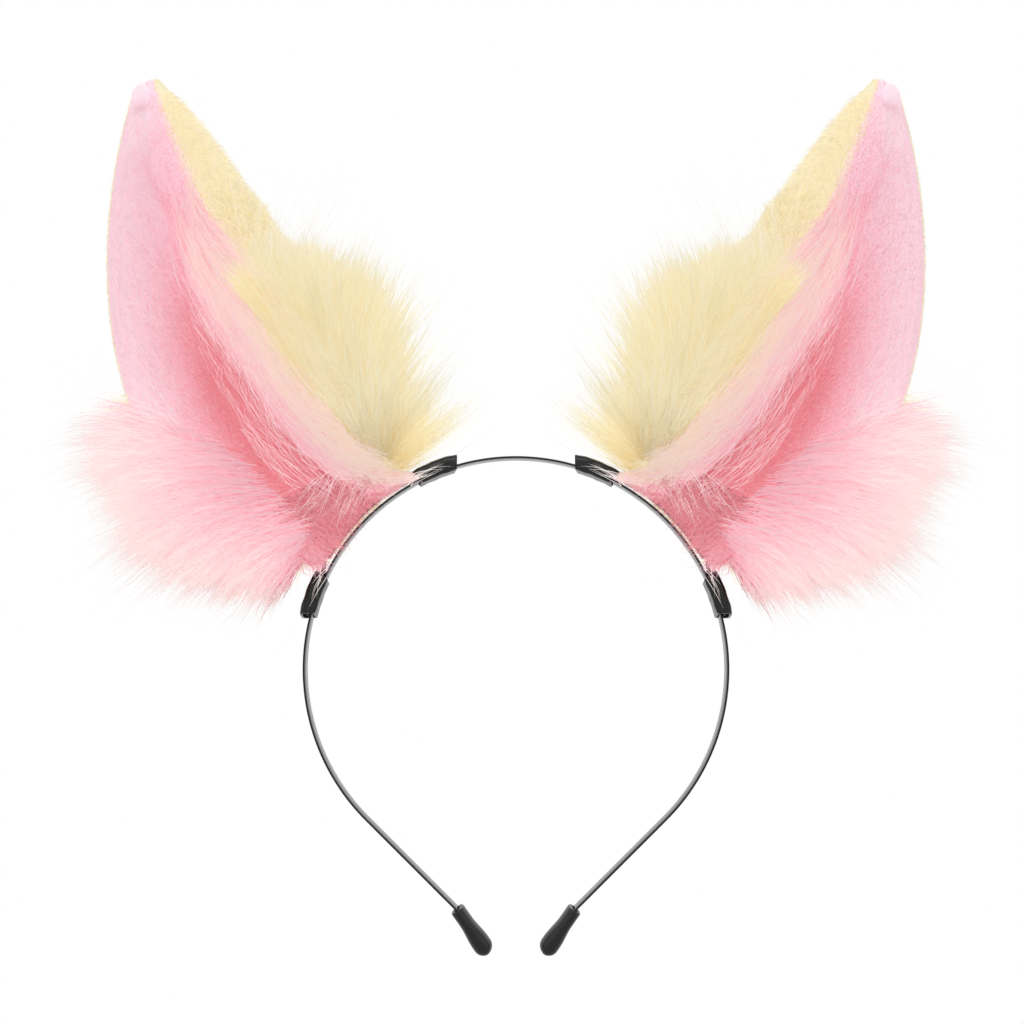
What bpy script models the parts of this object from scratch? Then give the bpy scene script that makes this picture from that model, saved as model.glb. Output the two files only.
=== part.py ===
"""Animal ears headband: a spring-steel hair band carrying two fur ears on wire frames.

Metres, +Z up. The wearer looks along -Y, so -Y is the front. The origin is the middle of the
band's inner face at the crown, where the band sits on the head. The band's arc and the ears
are mirror images about X = 0.
"""
import math

import bmesh
import bpy
from mathutils import Vector

# Fit between pieces that touch.
CLEARANCE = 0.0003

# Spring-steel band: an arc of strip with two straight legs.
BAND_INNER_RADIUS = 0.0620
BAND_THICKNESS = 0.0006
BAND_WIDTH = 0.0070
BAND_ARC_HALF_ANGLE = math.radians(135.0)
BAND_LEG_LENGTH = 0.0373
BAND_ARC_FACETS = 61

# Rubber tip caps, pushed onto the ends of the band.
CAP_LENGTH = 0.0160
CAP_NECK_THICKNESS = 0.0042
CAP_BULB_THICKNESS = 0.0056
CAP_WALL = 0.0009
CAP_LIP = 0.0004
CAP_SOCKET_DEPTH = 0.0085
CAP_TURN_IN = math.radians(10.0)
CAP_STAND_OFF = 0.0005
CAP_NECK_END_SHARE = 0.35
CAP_SWELL_SHARE = 0.75
CAP_OVAL_POWER = 0.85
CAP_SIDES = 20

# Heat-shrink tubes that hold the ear wire's two legs on the band.
TUBE_WALL = 0.0006
TUBE_LENGTH = 0.0126
UPPER_TUBE_ANGLE = math.radians(22.0)
LOWER_TUBE_ANGLE = math.radians(70.0)
TUBE_CORNER_RADIUS = 0.0009
TUBE_BAND_CORNER_RADIUS = 0.00027

# Ear wire and the seam thread along the ear's edge.
WIRE_RADIUS = 0.00075
WIRE_BEND_ROOM = math.radians(0.8)
WIRE_FOOT_SHARE = 0.075
WIRE_TOP_SHARE = 0.88
WIRE_TOP_RISE_SHARE = 0.03
SEAM_RADIUS = 0.0005

# Ear outline: its foot follows the band, its axis leans outwards.
FOOT_START_ANGLE = math.radians(31.0)
FOOT_END_ANGLE = math.radians(62.0)
FOOT_GAP = 0.0016
EAR_LENGTH = 0.1412
EAR_LEAN = math.radians(25.8)
EAR_TIP_WIDTH = 0.0050

# Two guide sections shape the ear between its foot and its tip. Each guide point has its height
# as a share of the ear's length, and its reach (across, front): across runs to the outer side.
LOW_HEIGHT_SHARES = {
    "outer_edge": 0.23, "inner_edge": 0.12, "valley": 0.14, "back_outer": 0.16, "back_inner": 0.24,
}
LOW_REACH = {
    "outer_edge": (0.0707, 0.0),
    "inner_edge": (0.0058, 0.010),
    "valley": (0.0300, -0.016),
    "back_outer": (0.0450, -0.026),
    "back_inner": (-0.0560, -0.024),
}
HIGH_HEIGHT_SHARES = {
    "outer_edge": 0.74, "inner_edge": 0.75, "valley": 0.74, "back_outer": 0.71, "back_inner": 0.71,
}
HIGH_REACH = {
    "outer_edge": (0.0373, 0.0),
    "inner_edge": (-0.0010, 0.010),
    "valley": (0.0170, -0.012),
    "back_outer": (0.0220, -0.020),
    "back_inner": (-0.0520, -0.016),
}

# Fabric of the ears. Each thickness is the backing cloth with its pile.
PANEL_THICKNESS = 0.0025
TAPE_THICKNESS = 0.0011
TAPE_WIDTH = 0.0056
BACK_TUFT_THICKNESS = 0.0120
RIM_TUFT_THICKNESS = 0.0045
OUTER_TUFT_THICKNESS = 0.0100
TUFT_EDGE_SHARE = 0.12

# Where each tuft lies: up the ear from its foot, and across it from its outer to its inner edge.
BACK_TUFT_HEIGHT_SHARES = (0.06, 0.68)
BACK_TUFT_TURN_SHARES = (0.42, 0.96)
RIM_TUFT_HEIGHT_SHARES = (0.08, 0.70)
RIM_TUFT_TURN_SHARES = (0.62, 0.99)
OUTER_TUFT_HEIGHT_SHARES = (0.06, 0.54)
OUTER_TUFT_TURN_SHARES = (-0.20, 0.42)

# Values that follow from the sizes above.
RING_CENTRE_Z = -BAND_INNER_RADIUS
BAND_OUTER_RADIUS = BAND_INNER_RADIUS + BAND_THICKNESS
LEG_WIRE_RADIUS = BAND_OUTER_RADIUS + CLEARANCE + WIRE_RADIUS
TAPE_INNER_RADIUS = BAND_OUTER_RADIUS + FOOT_GAP
FOOT_RADIUS = TAPE_INNER_RADIUS + TAPE_THICKNESS + 4 * CLEARANCE
FABRIC_INNER_OFFSET = WIRE_RADIUS + CLEARANCE
STUFFING_OFFSET = FABRIC_INNER_OFFSET - 2 * CLEARANCE
FRONT_TUFT_OFFSET = FABRIC_INNER_OFFSET + PANEL_THICKNESS + 3 * CLEARANCE
BACK_TUFT_OFFSET = FABRIC_INNER_OFFSET + PANEL_THICKNESS + 4 * CLEARANCE
WIRE_INSET = SEAM_RADIUS + 2 * CLEARANCE + WIRE_RADIUS
STUFFING_INSET = WIRE_INSET + WIRE_RADIUS + 2 * CLEARANCE

MATERIALS = {
    "black_band_steel": ((0.055, 0.055, 0.06), 0.32, 1.0),
    "black_rubber": ((0.018, 0.018, 0.02), 0.62, 0.0),
    "black_shrink_tube": ((0.014, 0.014, 0.016), 0.38, 0.0),
    "ear_wire_steel": ((0.10, 0.10, 0.105), 0.35, 1.0),
    "yellow_plush": ((0.94, 0.83, 0.52), 0.9, 0.0),
    "yellow_long_fur": ((0.95, 0.80, 0.42), 0.9, 0.0),
    "pink_plush": ((0.93, 0.53, 0.60), 0.9, 0.0),
    "pink_long_fur": ((0.97, 0.62, 0.68), 0.9, 0.0),
    "pale_pink_long_fur": ((0.98, 0.70, 0.70), 0.9, 0.0),
    "fibre_fill": ((0.93, 0.92, 0.90), 0.95, 0.0),
    "seam_thread": ((0.96, 0.80, 0.78), 0.7, 0.0),
    "cotton_tape": ((0.93, 0.60, 0.66), 0.85, 0.0),
}


# ---------------------------------------------------------------- scene helpers

def clear_scene():
    """Start from an empty scene."""
    for item in list(bpy.data.objects):
        bpy.data.objects.remove(item, do_unlink=True)


def new_collection(name):
    """Make a collection under the scene's own."""
    collection = bpy.data.collections.new(name)
    bpy.context.scene.collection.children.link(collection)
    return collection


def material(name):
    """Fetch a material by name, and make it the first time."""
    found = bpy.data.materials.get(name)
    if found:
        return found
    color, roughness, metallic = MATERIALS[name]
    made = bpy.data.materials.new(name)
    made.use_nodes = True
    shader = made.node_tree.nodes["Principled BSDF"]
    shader.inputs["Base Color"].default_value = (*color, 1.0)
    shader.inputs["Roughness"].default_value = roughness
    shader.inputs["Metallic"].default_value = metallic
    return made


def add_object(name, data, collection, finish=None, origin=Vector(), parent=None):
    """Link an object, give it its finish and hang it on its parent without moving it."""
    made = bpy.data.objects.new(name, data)
    collection.objects.link(made)
    made.location = origin
    if finish:
        data.materials.append(material(finish))
    if parent:
        bpy.context.view_layer.update()
        made.parent = parent
        made.matrix_parent_inverse = parent.matrix_world.inverted()
    return made


def grid_mesh(name, rows, flip):
    """Make an open sheet from rows of points. Flip turns its faces over."""
    columns = len(rows[0])
    points = [point for row in rows for point in row]
    faces = []
    for r in range(len(rows) - 1):
        for c in range(columns - 1):
            first = r * columns + c
            face = (first, first + 1, first + columns + 1, first + columns)
            faces.append((face[0], face[3], face[2], face[1]) if flip else face)
    mesh = bpy.data.meshes.new(name)
    mesh.from_pydata(points, [], faces)
    mesh.shade_smooth()
    return mesh


def thicken(target, thickness, group=None):
    """Thicken a sheet outwards, along its normals."""
    solidify = target.modifiers.new("thickness", "SOLIDIFY")
    solidify.thickness = thickness
    solidify.offset = 1.0
    if group:
        solidify.vertex_group = group
        solidify.thickness_vertex_group = TUFT_EDGE_SHARE
    return solidify


def tube_curve(name, points, radius, resolution):
    """Make a round wire along a row of points."""
    curve = bpy.data.curves.new(name, "CURVE")
    curve.dimensions = "3D"
    curve.bevel_depth = radius
    curve.bevel_resolution = resolution
    curve.use_fill_caps = True
    spline = curve.splines.new("POLY")
    spline.points.add(len(points) - 1)
    for knot, point in zip(spline.points, points):
        knot.co = (*point, 1.0)
    spline.use_smooth = True
    return curve


# ---------------------------------------------------------------- band and caps

def on_ring(angle, radius, side=1.0, front=0.0):
    """A point round the ring's centre, at an angle from the crown. Side is -1 for the left."""
    return Vector((side * radius * math.sin(angle), -front,
                   RING_CENTRE_Z + radius * math.cos(angle)))


def leg_direction(extra_turn=0.0):
    """Which way the right leg of the band runs, down and inwards."""
    angle = BAND_ARC_HALF_ANGLE - extra_turn
    return Vector((math.cos(angle), 0.0, -math.sin(angle)))


def leg_end():
    """Where the inner face of the right leg ends and turns into its cap."""
    return on_ring(BAND_ARC_HALF_ANGLE, BAND_INNER_RADIUS) + leg_direction() * BAND_LEG_LENGTH


def band_half_path():
    """The inner face of the strip's right half, from the crown to the end in the cap."""
    step = 2.0 * BAND_ARC_HALF_ANGLE / BAND_ARC_FACETS
    corner_radius = BAND_INNER_RADIUS / math.cos(step / 2.0)
    path = [Vector()]
    for index in range(BAND_ARC_FACETS // 2):
        path.append(on_ring((index + 0.5) * step, corner_radius))
    path.append(on_ring(BAND_ARC_HALF_ANGLE, BAND_INNER_RADIUS))
    path.append(leg_end())
    tongue = CAP_STAND_OFF + CAP_SOCKET_DEPTH - CLEARANCE
    path.append(leg_end() + leg_direction(CAP_TURN_IN) * tongue)
    return path


def build_band(parts):
    """The strip: half of it as a sheet, mirrored at the crown, then thickened outwards."""
    half_width = Vector((0.0, BAND_WIDTH / 2.0, 0.0))
    rows = [(point - half_width, point + half_width) for point in band_half_path()]
    band = add_object("steel_band", grid_mesh("steel_band", rows, True), parts,
                      "black_band_steel")
    mirror = band.modifiers.new("other_half", "MIRROR")
    mirror.use_axis = (True, False, False)
    mirror.merge_threshold = 0.00001
    solidify = thicken(band, BAND_THICKNESS)
    solidify.use_even_offset = True
    return band


def cap_sections():
    """Oval sections of a cap from its mouth to its rounded end: depth, half thickness, half width."""
    neck = CAP_NECK_THICKNESS / 2.0
    bulb = CAP_BULB_THICKNESS / 2.0
    half_width = BAND_WIDTH / 2.0 + CLEARANCE + CAP_WALL
    bulb_centre = CAP_LENGTH - bulb
    sections = [(0.0, neck - CAP_LIP, half_width - CAP_LIP), (CAP_LIP, neck, half_width),
                (CAP_NECK_END_SHARE * bulb_centre, neck, half_width),
                (CAP_SWELL_SHARE * bulb_centre, (neck + bulb) / 2.0, half_width)]
    for turn in (0, 30, 55, 75):
        angle = math.radians(turn)
        shrink = bulb * (1.0 - math.cos(angle))
        sections.append((bulb_centre + bulb * math.sin(angle), bulb - shrink, half_width - shrink))
    return sections


def oval_loft(name, sections):
    """A closed solid through oval sections, each closer to a rounded box than to an ellipse."""
    made = bmesh.new()
    rings = []
    for depth, half_thickness, half_width in sections:
        ring = []
        for index in range(CAP_SIDES):
            angle = 2.0 * math.pi * index / CAP_SIDES
            x = math.copysign(abs(math.cos(angle)) ** CAP_OVAL_POWER, math.cos(angle)) * half_thickness
            y = math.copysign(abs(math.sin(angle)) ** CAP_OVAL_POWER, math.sin(angle)) * half_width
            ring.append(made.verts.new((x, y, -depth)))
        rings.append(ring)
    for above, below in zip(rings, rings[1:]):
        for index in range(CAP_SIDES):
            after = (index + 1) % CAP_SIDES
            made.faces.new((above[index], below[index], below[after], above[after]))
    made.faces.new(rings[0])
    made.faces.new(rings[-1][::-1])
    mesh = bpy.data.meshes.new(name)
    made.to_mesh(mesh)
    made.free()
    mesh.shade_smooth()
    mesh.set_sharp_from_angle(angle=math.radians(50.0))
    return mesh


def build_cap(name, side, parts, cutters):
    """A moulded cap, oval to the strip's width, with a socket for the strip's end."""
    direction = leg_direction(CAP_TURN_IN)
    out_of_ring = Vector((-direction.z, 0.0, direction.x))
    mouth = leg_end() + direction * CAP_STAND_OFF + out_of_ring * BAND_THICKNESS / 2.0
    mouth.x *= side
    tilt = side * math.atan2(-direction.x, -direction.z)
    cap = add_object(name, oval_loft(name, cap_sections()), parts, "black_rubber", mouth)
    cap.rotation_euler = (0.0, tilt, 0.0)

    bpy.ops.mesh.primitive_cube_add(size=1.0, location=mouth, rotation=(0.0, tilt, 0.0))
    socket = bpy.context.object
    socket.name = name + "_socket_cutter"
    socket.scale = (BAND_THICKNESS + 2 * CLEARANCE, BAND_WIDTH + 2 * CLEARANCE,
                    2 * CAP_SOCKET_DEPTH)
    socket.hide_render = True
    socket.display_type = "WIRE"
    for holder in list(socket.users_collection):
        holder.objects.unlink(socket)
    cutters.objects.link(socket)

    cut = cap.modifiers.new("socket", "BOOLEAN")
    cut.operation = "DIFFERENCE"
    cut.solver = "EXACT"
    cut.object = socket
    return cap


# ---------------------------------------------------------------- heat-shrink tubes

def tube_profile():
    """The tube's bore, round the strip and the wire leg lying on it: a rounded rectangle."""
    low = BAND_INNER_RADIUS - CLEARANCE
    high = LEG_WIRE_RADIUS + WIRE_RADIUS + CLEARANCE
    half = BAND_WIDTH / 2.0 + CLEARANCE
    outer = TUBE_CORNER_RADIUS
    inner = TUBE_BAND_CORNER_RADIUS
    corners = [(half - outer, high - outer, outer), (outer - half, high - outer, outer),
               (inner - half, low + inner, inner), (half - inner, low + inner, inner)]
    points = []
    for index, (across, out, round_off) in enumerate(corners):
        for turn in (0, 45, 90):
            angle = math.radians(90 * index + turn)
            points.append(Vector((0.0, across + round_off * math.cos(angle),
                                  out + round_off * math.sin(angle))))
    return points


def build_tube(name, angle, side, parts, parent):
    """A tube bent along the band: its bore turned about the ring's centre, then thickened."""
    profile = tube_profile()
    count = len(profile)
    mesh = bpy.data.meshes.new(name)
    mesh.from_pydata(profile, [(i, (i + 1) % count) for i in range(count)], [])
    span = TUBE_LENGTH / LEG_WIRE_RADIUS
    centre = Vector((0.0, 0.0, RING_CENTRE_Z))
    tube = add_object(name, mesh, parts, "black_shrink_tube", centre)
    tube.rotation_euler = (0.0, side * angle - span / 2.0, 0.0)
    screw = tube.modifiers.new("along_band", "SCREW")
    screw.axis = "Y"
    screw.angle = span
    screw.steps = 6
    screw.render_steps = 6
    screw.use_smooth_shade = True
    thicken(tube, TUBE_WALL).use_even_offset = True
    bpy.context.view_layer.update()
    tube.parent = parent
    tube.matrix_parent_inverse = parent.matrix_world.inverted()
    return tube


# ---------------------------------------------------------------- ear surfaces

def bernstein(t):
    """Weights of the four guide points of a cubic curve."""
    return ((1 - t) ** 3, 3 * t * (1 - t) ** 2, 3 * t * t * (1 - t), t ** 3)


def ear_axes():
    """Foot centre of the right ear, the direction across to its outer side, and its length."""
    foot = on_ring((FOOT_START_ANGLE + FOOT_END_ANGLE) / 2.0, FOOT_RADIUS)
    along = Vector((math.sin(EAR_LEAN), 0.0, math.cos(EAR_LEAN)))
    across = Vector((math.cos(EAR_LEAN), 0.0, -math.sin(EAR_LEAN)))
    return foot, across, along


def foot_row():
    """Guide points of the foot: a cubic curve that follows the band."""
    sweep = FOOT_END_ANGLE - FOOT_START_ANGLE
    handle = 4.0 / 3.0 * math.tan(sweep / 4.0) * FOOT_RADIUS
    outer = on_ring(FOOT_END_ANGLE, FOOT_RADIUS)
    inner = on_ring(FOOT_START_ANGLE, FOOT_RADIUS)
    outer_way = Vector((math.cos(FOOT_END_ANGLE), 0.0, -math.sin(FOOT_END_ANGLE)))
    inner_way = Vector((math.cos(FOOT_START_ANGLE), 0.0, -math.sin(FOOT_START_ANGLE)))
    return [outer, outer - outer_way * handle, inner + inner_way * handle, inner]


def tip_row():
    """Guide points of the narrow tip."""
    return [section_point(1.0, (EAR_TIP_WIDTH * share, 0.0))
            for share in (0.5, 1.0 / 6.0, -1.0 / 6.0, -0.5)]


def section_point(height_share, reach):
    """Turn a guide point's height share and (across, front) reach into a place on the right ear."""
    foot, across, along = ear_axes()
    out, front = reach
    return foot + along * (height_share * EAR_LENGTH) + across * out - Vector((0.0, front, 0.0))


def guide_rows(outer_name, inner_name):
    """The sixteen guide points of the lining's or the back's surface."""
    rows = [foot_row()]
    for shares, reach in ((LOW_HEIGHT_SHARES, LOW_REACH), (HIGH_HEIGHT_SHARES, HIGH_REACH)):
        rows.append([section_point(shares[name], reach[name])
                     for name in ("outer_edge", outer_name, inner_name, "inner_edge")])
    rows.append(tip_row())
    return rows


def surface_point(rows, height, turn):
    """A point on a surface: height runs from foot to tip, turn from outer to inner edge."""
    total = Vector()
    for weight_up, row in zip(bernstein(height), rows):
        for weight_round, point in zip(bernstein(turn), row):
            total += weight_up * weight_round * point
    return total


def outward(rows, height, turn, facing):
    """Unit normal of a surface, towards the front for facing -1 and the back for +1."""
    small = 0.001
    up = surface_point(rows, height + small, turn) - surface_point(rows, height - small, turn)
    around = surface_point(rows, height, turn + small) - surface_point(rows, height, turn - small)
    return around.cross(up).normalized() * facing


def edge_turn(rows, height, distance, inner_edge):
    """Turn value that lies a distance in from the outer or the inner edge."""
    start = 1.0 if inner_edge else 0.0
    step = -0.01 if inner_edge else 0.01
    turn = start
    here = surface_point(rows, height, turn)
    walked = 0.0
    while walked < distance and 0.0 <= turn + step <= 1.0:
        turn += step
        there = surface_point(rows, height, turn)
        length = (there - here).length
        if walked + length > distance:
            return turn - step * (walked + length - distance) / length
        walked += length
        here = there
    return 0.5


def spread(start, end, count):
    """Evenly spaced values, both ends included."""
    return [start + (end - start) * index / (count - 1) for index in range(count)]


PANEL_HEIGHTS = spread(0.02, 0.99, 15)
PANEL_TURNS = spread(0.0, 1.0, 13)
TUFT_ROWS = 9


def mirrored(point, side):
    """Bring a point of the right ear to the ear on the given side."""
    return Vector((point.x * side, point.y, point.z))


def sheet_rows(rows, places, offset, facing, side, pivot):
    """Points of a sheet a distance outside a surface, at rows of (height, turn) places."""
    result = []
    for row in places:
        line = []
        for height, turn in row:
            point = surface_point(rows, height, turn) + outward(rows, height, turn, facing) * offset
            line.append(mirrored(point, side) - pivot)
        result.append(line)
    return result


def panel_places():
    """Places over the whole of a panel."""
    return [[(height, turn) for turn in PANEL_TURNS] for height in PANEL_HEIGHTS]


def oval_places(heights, turns):
    """Places in an oval patch, and how high its pile stands at each: a square grid bent round."""
    places, piles = [], []
    for up in spread(-1.0, 1.0, TUFT_ROWS):
        row, pile = [], []
        for around in spread(-1.0, 1.0, TUFT_ROWS):
            high = up * math.sqrt(1.0 - around * around / 2.0)
            wide = around * math.sqrt(1.0 - up * up / 2.0)
            row.append((sum(heights) / 2.0 + high * (heights[1] - heights[0]) / 2.0,
                        sum(turns) / 2.0 + wide * (turns[1] - turns[0]) / 2.0))
            pile.append(math.sqrt(max(0.0, 1.0 - high * high - wide * wide)))
        places.append(row)
        piles.append(pile)
    return places, piles


# ---------------------------------------------------------------- ear pieces

def tilt_pivot(side):
    """Middle of the line through the two tubes, about which the ear tilts."""
    upper = on_ring(UPPER_TUBE_ANGLE, LEG_WIRE_RADIUS, side)
    lower = on_ring(LOWER_TUBE_ANGLE, LEG_WIRE_RADIUS, side)
    return (upper + lower) / 2.0


class Ear:
    """One ear's surfaces, side and parent, shared by its pieces."""

    def __init__(self, label, side, parts, parent):
        self.label = label
        self.side = side
        self.parts = parts
        self.parent = parent
        self.pivot = tilt_pivot(side)
        self.lining = guide_rows("valley", "valley")
        self.back = guide_rows("back_outer", "back_inner")

    def add(self, piece, data, finish):
        """Add a piece of this ear to the scene."""
        return add_object(self.label + "_" + piece, data, self.parts, finish, self.pivot,
                          self.parent)

    def place(self, point):
        """Bring a point of the right ear into this ear's own space."""
        return mirrored(point, self.side) - self.pivot


def build_fabric(ear, piece, finish, rows, facing, offset, thickness, places, piles=None):
    """A fabric piece: a sheet outside one of the ear's surfaces, thickened outwards."""
    sheet = sheet_rows(rows, places, offset, facing, ear.side, ear.pivot)
    mesh = grid_mesh(ear.label + "_" + piece, sheet, facing * ear.side < 0)
    made = ear.add(piece, mesh, finish)
    if piles is None:
        thicken(made, thickness)
        return
    group = made.vertex_groups.new(name="pile")
    for index, share in enumerate(share for row in piles for share in row):
        group.add([index], share, "REPLACE")
    thicken(made, thickness, "pile")


def build_panels(ear):
    """The pink lining at the front and the yellow back, sewn together along both edges."""
    build_fabric(ear, "lining_panel", "pink_plush", ear.lining, -1, FABRIC_INNER_OFFSET,
                 PANEL_THICKNESS, panel_places())
    build_fabric(ear, "back_panel", "yellow_plush", ear.back, 1, FABRIC_INNER_OFFSET,
                 PANEL_THICKNESS, panel_places())


def build_tufts(ear):
    """Oval pieces of long-pile fur sewn over the panels near the ear's foot."""
    build_fabric(ear, "back_tuft", "yellow_long_fur", ear.back, 1, BACK_TUFT_OFFSET,
                 BACK_TUFT_THICKNESS, *oval_places(BACK_TUFT_HEIGHT_SHARES, BACK_TUFT_TURN_SHARES))
    build_fabric(ear, "rim_tuft", "pale_pink_long_fur", ear.lining, -1, FRONT_TUFT_OFFSET,
                 RIM_TUFT_THICKNESS, *oval_places(RIM_TUFT_HEIGHT_SHARES, RIM_TUFT_TURN_SHARES))
    build_fabric(ear, "outer_tuft", "pink_long_fur", ear.lining, -1, FRONT_TUFT_OFFSET,
                 OUTER_TUFT_THICKNESS, *oval_places(OUTER_TUFT_HEIGHT_SHARES, OUTER_TUFT_TURN_SHARES))


def chord_inset(ear, height, depth, inner_edge):
    """How far in from an edge two panels part enough to clear a depth behind the edge."""
    edge = surface_point(ear.lining, height, 1.0 if inner_edge else 0.0)
    distance = depth
    while distance < 3.0 * depth:
        middle = panel_middle(ear, height, distance, inner_edge)
        if (middle - edge).length >= depth:
            return distance
        distance += depth / 20.0
    return distance


def panel_middle(ear, height, distance, inner_edge):
    """Halfway between the two panels, a distance in from an edge along each."""
    points = [surface_point(rows, height, edge_turn(rows, height, distance, inner_edge))
              for rows in (ear.lining, ear.back)]
    return (points[0] + points[1]) / 2.0


def build_stuffing(ear):
    """Fibre fill between the lining and the back, inside the wire."""
    front_rows, back_rows = [], []
    for height in PANEL_HEIGHTS[1:13]:
        for rows, facing, lines in ((ear.lining, -1, front_rows), (ear.back, 1, back_rows)):
            ends = [edge_turn(rows, height, chord_inset(ear, height, STUFFING_INSET, inner), inner)
                    for inner in (False, True)]
            line = []
            for turn in spread(*ends, 7):
                point = surface_point(rows, height, turn)
                point += outward(rows, height, turn, facing) * STUFFING_OFFSET
                line.append(ear.place(point))
            lines.append(line)
    mesh = closed_loft(ear.label + "_stuffing", front_rows, back_rows, ear.side < 0)
    ear.add("stuffing", mesh, "fibre_fill")


def closed_loft(name, front_rows, back_rows, flip):
    """Close the space between two sheets of the same layout."""
    made = bmesh.new()
    front = [[made.verts.new(point) for point in row] for row in front_rows]
    back = [[made.verts.new(point) for point in row] for row in back_rows]
    last_row, last_column = len(front) - 1, len(front[0]) - 1
    for r in range(last_row):
        for c in range(last_column):
            made.faces.new((front[r][c], front[r + 1][c], front[r + 1][c + 1], front[r][c + 1]))
            made.faces.new((back[r][c], back[r][c + 1], back[r + 1][c + 1], back[r + 1][c]))
        for c in (0, last_column):
            side = (front[r][c], back[r][c], back[r + 1][c], front[r + 1][c])
            made.faces.new(side if c == 0 else tuple(reversed(side)))
    for c in range(last_column):
        for r in (0, last_row):
            end = (front[r][c], front[r][c + 1], back[r][c + 1], back[r][c])
            made.faces.new(end if r == 0 else tuple(reversed(end)))
    if flip:
        bmesh.ops.reverse_faces(made, faces=made.faces)
    mesh = bpy.data.meshes.new(name)
    made.to_mesh(mesh)
    made.free()
    mesh.shade_smooth()
    return mesh


def edge_point(ear, height, distance, inner_edge):
    """A point between the two panels, a straight distance behind an edge."""
    edge = surface_point(ear.lining, height, 1.0 if inner_edge else 0.0)
    way_in = panel_middle(ear, height, distance, inner_edge) - edge
    return edge + way_in.normalized() * distance


def smooth_path(points, per_span):
    """A smooth curve through hand-placed points."""
    padded = [2 * points[0] - points[1]] + points + [2 * points[-1] - points[-2]]
    path = []
    for before, start, end, after in zip(padded, padded[1:], padded[2:], padded[3:]):
        for index in range(per_span):
            t = index / per_span
            path.append(0.5 * (2 * start + (end - before) * t
                               + (2 * before - 5 * start + 4 * end - after) * t * t
                               + (3 * start - before - 3 * end + after) * t ** 3))
    return path + [points[-1]]


def bend(start, start_way, end, end_way, count):
    """Inner points of a smooth bend between two straight runs of wire."""
    handle = (end - start).length * 0.45
    guides = (start, start + start_way * handle, end - end_way * handle, end)
    points = []
    for t in spread(0.0, 1.0, count + 2)[1:-1]:
        points.append(sum((w * g for w, g in zip(bernstein(t), guides)), Vector()))
    return points


def wire_leg(centre_angle, inwards):
    """A leg of the ear wire along the band through one tube, from its free end to the ear."""
    half = TUBE_LENGTH / LEG_WIRE_RADIUS / 2.0
    return [on_ring(centre_angle + share * inwards, LEG_WIRE_RADIUS)
            for share in spread(-half, half + WIRE_BEND_ROOM, 5)]


def wire_top(ear):
    """The wire's rounded top, between the panels."""
    points = []
    for turn in (0.8, 0.5, 0.2):
        height = WIRE_TOP_SHARE + WIRE_TOP_RISE_SHARE * math.sin(math.pi * turn)
        both = [surface_point(rows, height, turn) for rows in (ear.lining, ear.back)]
        points.append((both[0] + both[1]) / 2.0)
    return points


def build_wire(ear):
    """The wire frame: up the inner edge, over the top, down the outer edge to the band."""
    heights = spread(WIRE_FOOT_SHARE, WIRE_TOP_SHARE, 10)
    inner = [edge_point(ear, height, WIRE_INSET, True) for height in heights]
    outer = [edge_point(ear, height, WIRE_INSET, False) for height in heights]
    frame = smooth_path(inner + wire_top(ear) + outer[::-1], 2)
    upper_leg = wire_leg(UPPER_TUBE_ANGLE, 1.0)
    lower_leg = wire_leg(LOWER_TUBE_ANGLE, -1.0)[::-1]
    into_ear = bend(upper_leg[-1], (upper_leg[-1] - upper_leg[-2]).normalized(),
                    frame[0], (frame[1] - frame[0]).normalized(), 2)
    out_of_ear = bend(frame[-1], (frame[-1] - frame[-2]).normalized(),
                      lower_leg[0], (lower_leg[1] - lower_leg[0]).normalized(), 4)
    path = [ear.place(point) for point in upper_leg + into_ear + frame + out_of_ear + lower_leg]
    ear.add("ear_wire", tube_curve(ear.label + "_ear_wire", path, WIRE_RADIUS, 2), "ear_wire_steel")


def build_seam(ear):
    """The seam thread along the edge where the lining and the back are sewn together."""
    inner = [surface_point(ear.lining, height, 1.0) for height in PANEL_HEIGHTS[1:]]
    outer = [surface_point(ear.lining, height, 0.0) for height in PANEL_HEIGHTS[1:]]
    path = [ear.place(point) for point in inner + outer[::-1]]
    ear.add("seam_thread", tube_curve(ear.label + "_seam_thread", path, SEAM_RADIUS, 1),
            "seam_thread")


def build_tape(ear):
    """The tape that closes the ear's foot, just clear of the band."""
    margin = math.radians(2.5)
    half_width = Vector((0.0, TAPE_WIDTH / 2.0, 0.0))
    rows = []
    for angle in spread(FOOT_START_ANGLE + margin, FOOT_END_ANGLE - margin, 9):
        centre = on_ring(angle, TAPE_INNER_RADIUS)
        rows.append([ear.place(centre - half_width), ear.place(centre + half_width)])
    mesh = grid_mesh(ear.label + "_foot_tape", rows, ear.side > 0)
    thicken(ear.add("foot_tape", mesh, "cotton_tape"), TAPE_THICKNESS)


def build_ear(label, side, parts):
    """One ear with its tubes. The tubes turn about the ring's centre as they slide."""
    slider = add_object(label + "_slider", None, parts, origin=Vector((0.0, 0.0, RING_CENTRE_Z)))
    hanger = add_object(label + "_tilt", None, parts, origin=tilt_pivot(side), parent=slider)
    build_tube(label + "_upper_tube", UPPER_TUBE_ANGLE, side, parts, slider)
    build_tube(label + "_lower_tube", LOWER_TUBE_ANGLE, side, parts, slider)
    ear = Ear(label, side, parts, hanger)
    build_wire(ear)
    build_seam(ear)
    build_tape(ear)
    build_stuffing(ear)
    build_panels(ear)
    build_tufts(ear)


clear_scene()
headband = new_collection("animal_ears_headband")
cutter_shapes = new_collection("cutters")
build_band(headband)
build_cap("left_tip_cap", -1.0, headband, cutter_shapes)
build_cap("right_tip_cap", 1.0, headband, cutter_shapes)
build_ear("left", -1.0, headband)
build_ear("right", 1.0, headband)
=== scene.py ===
"""Fluffy animal ears headband: the looks of every piece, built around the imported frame."""
import math

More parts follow.
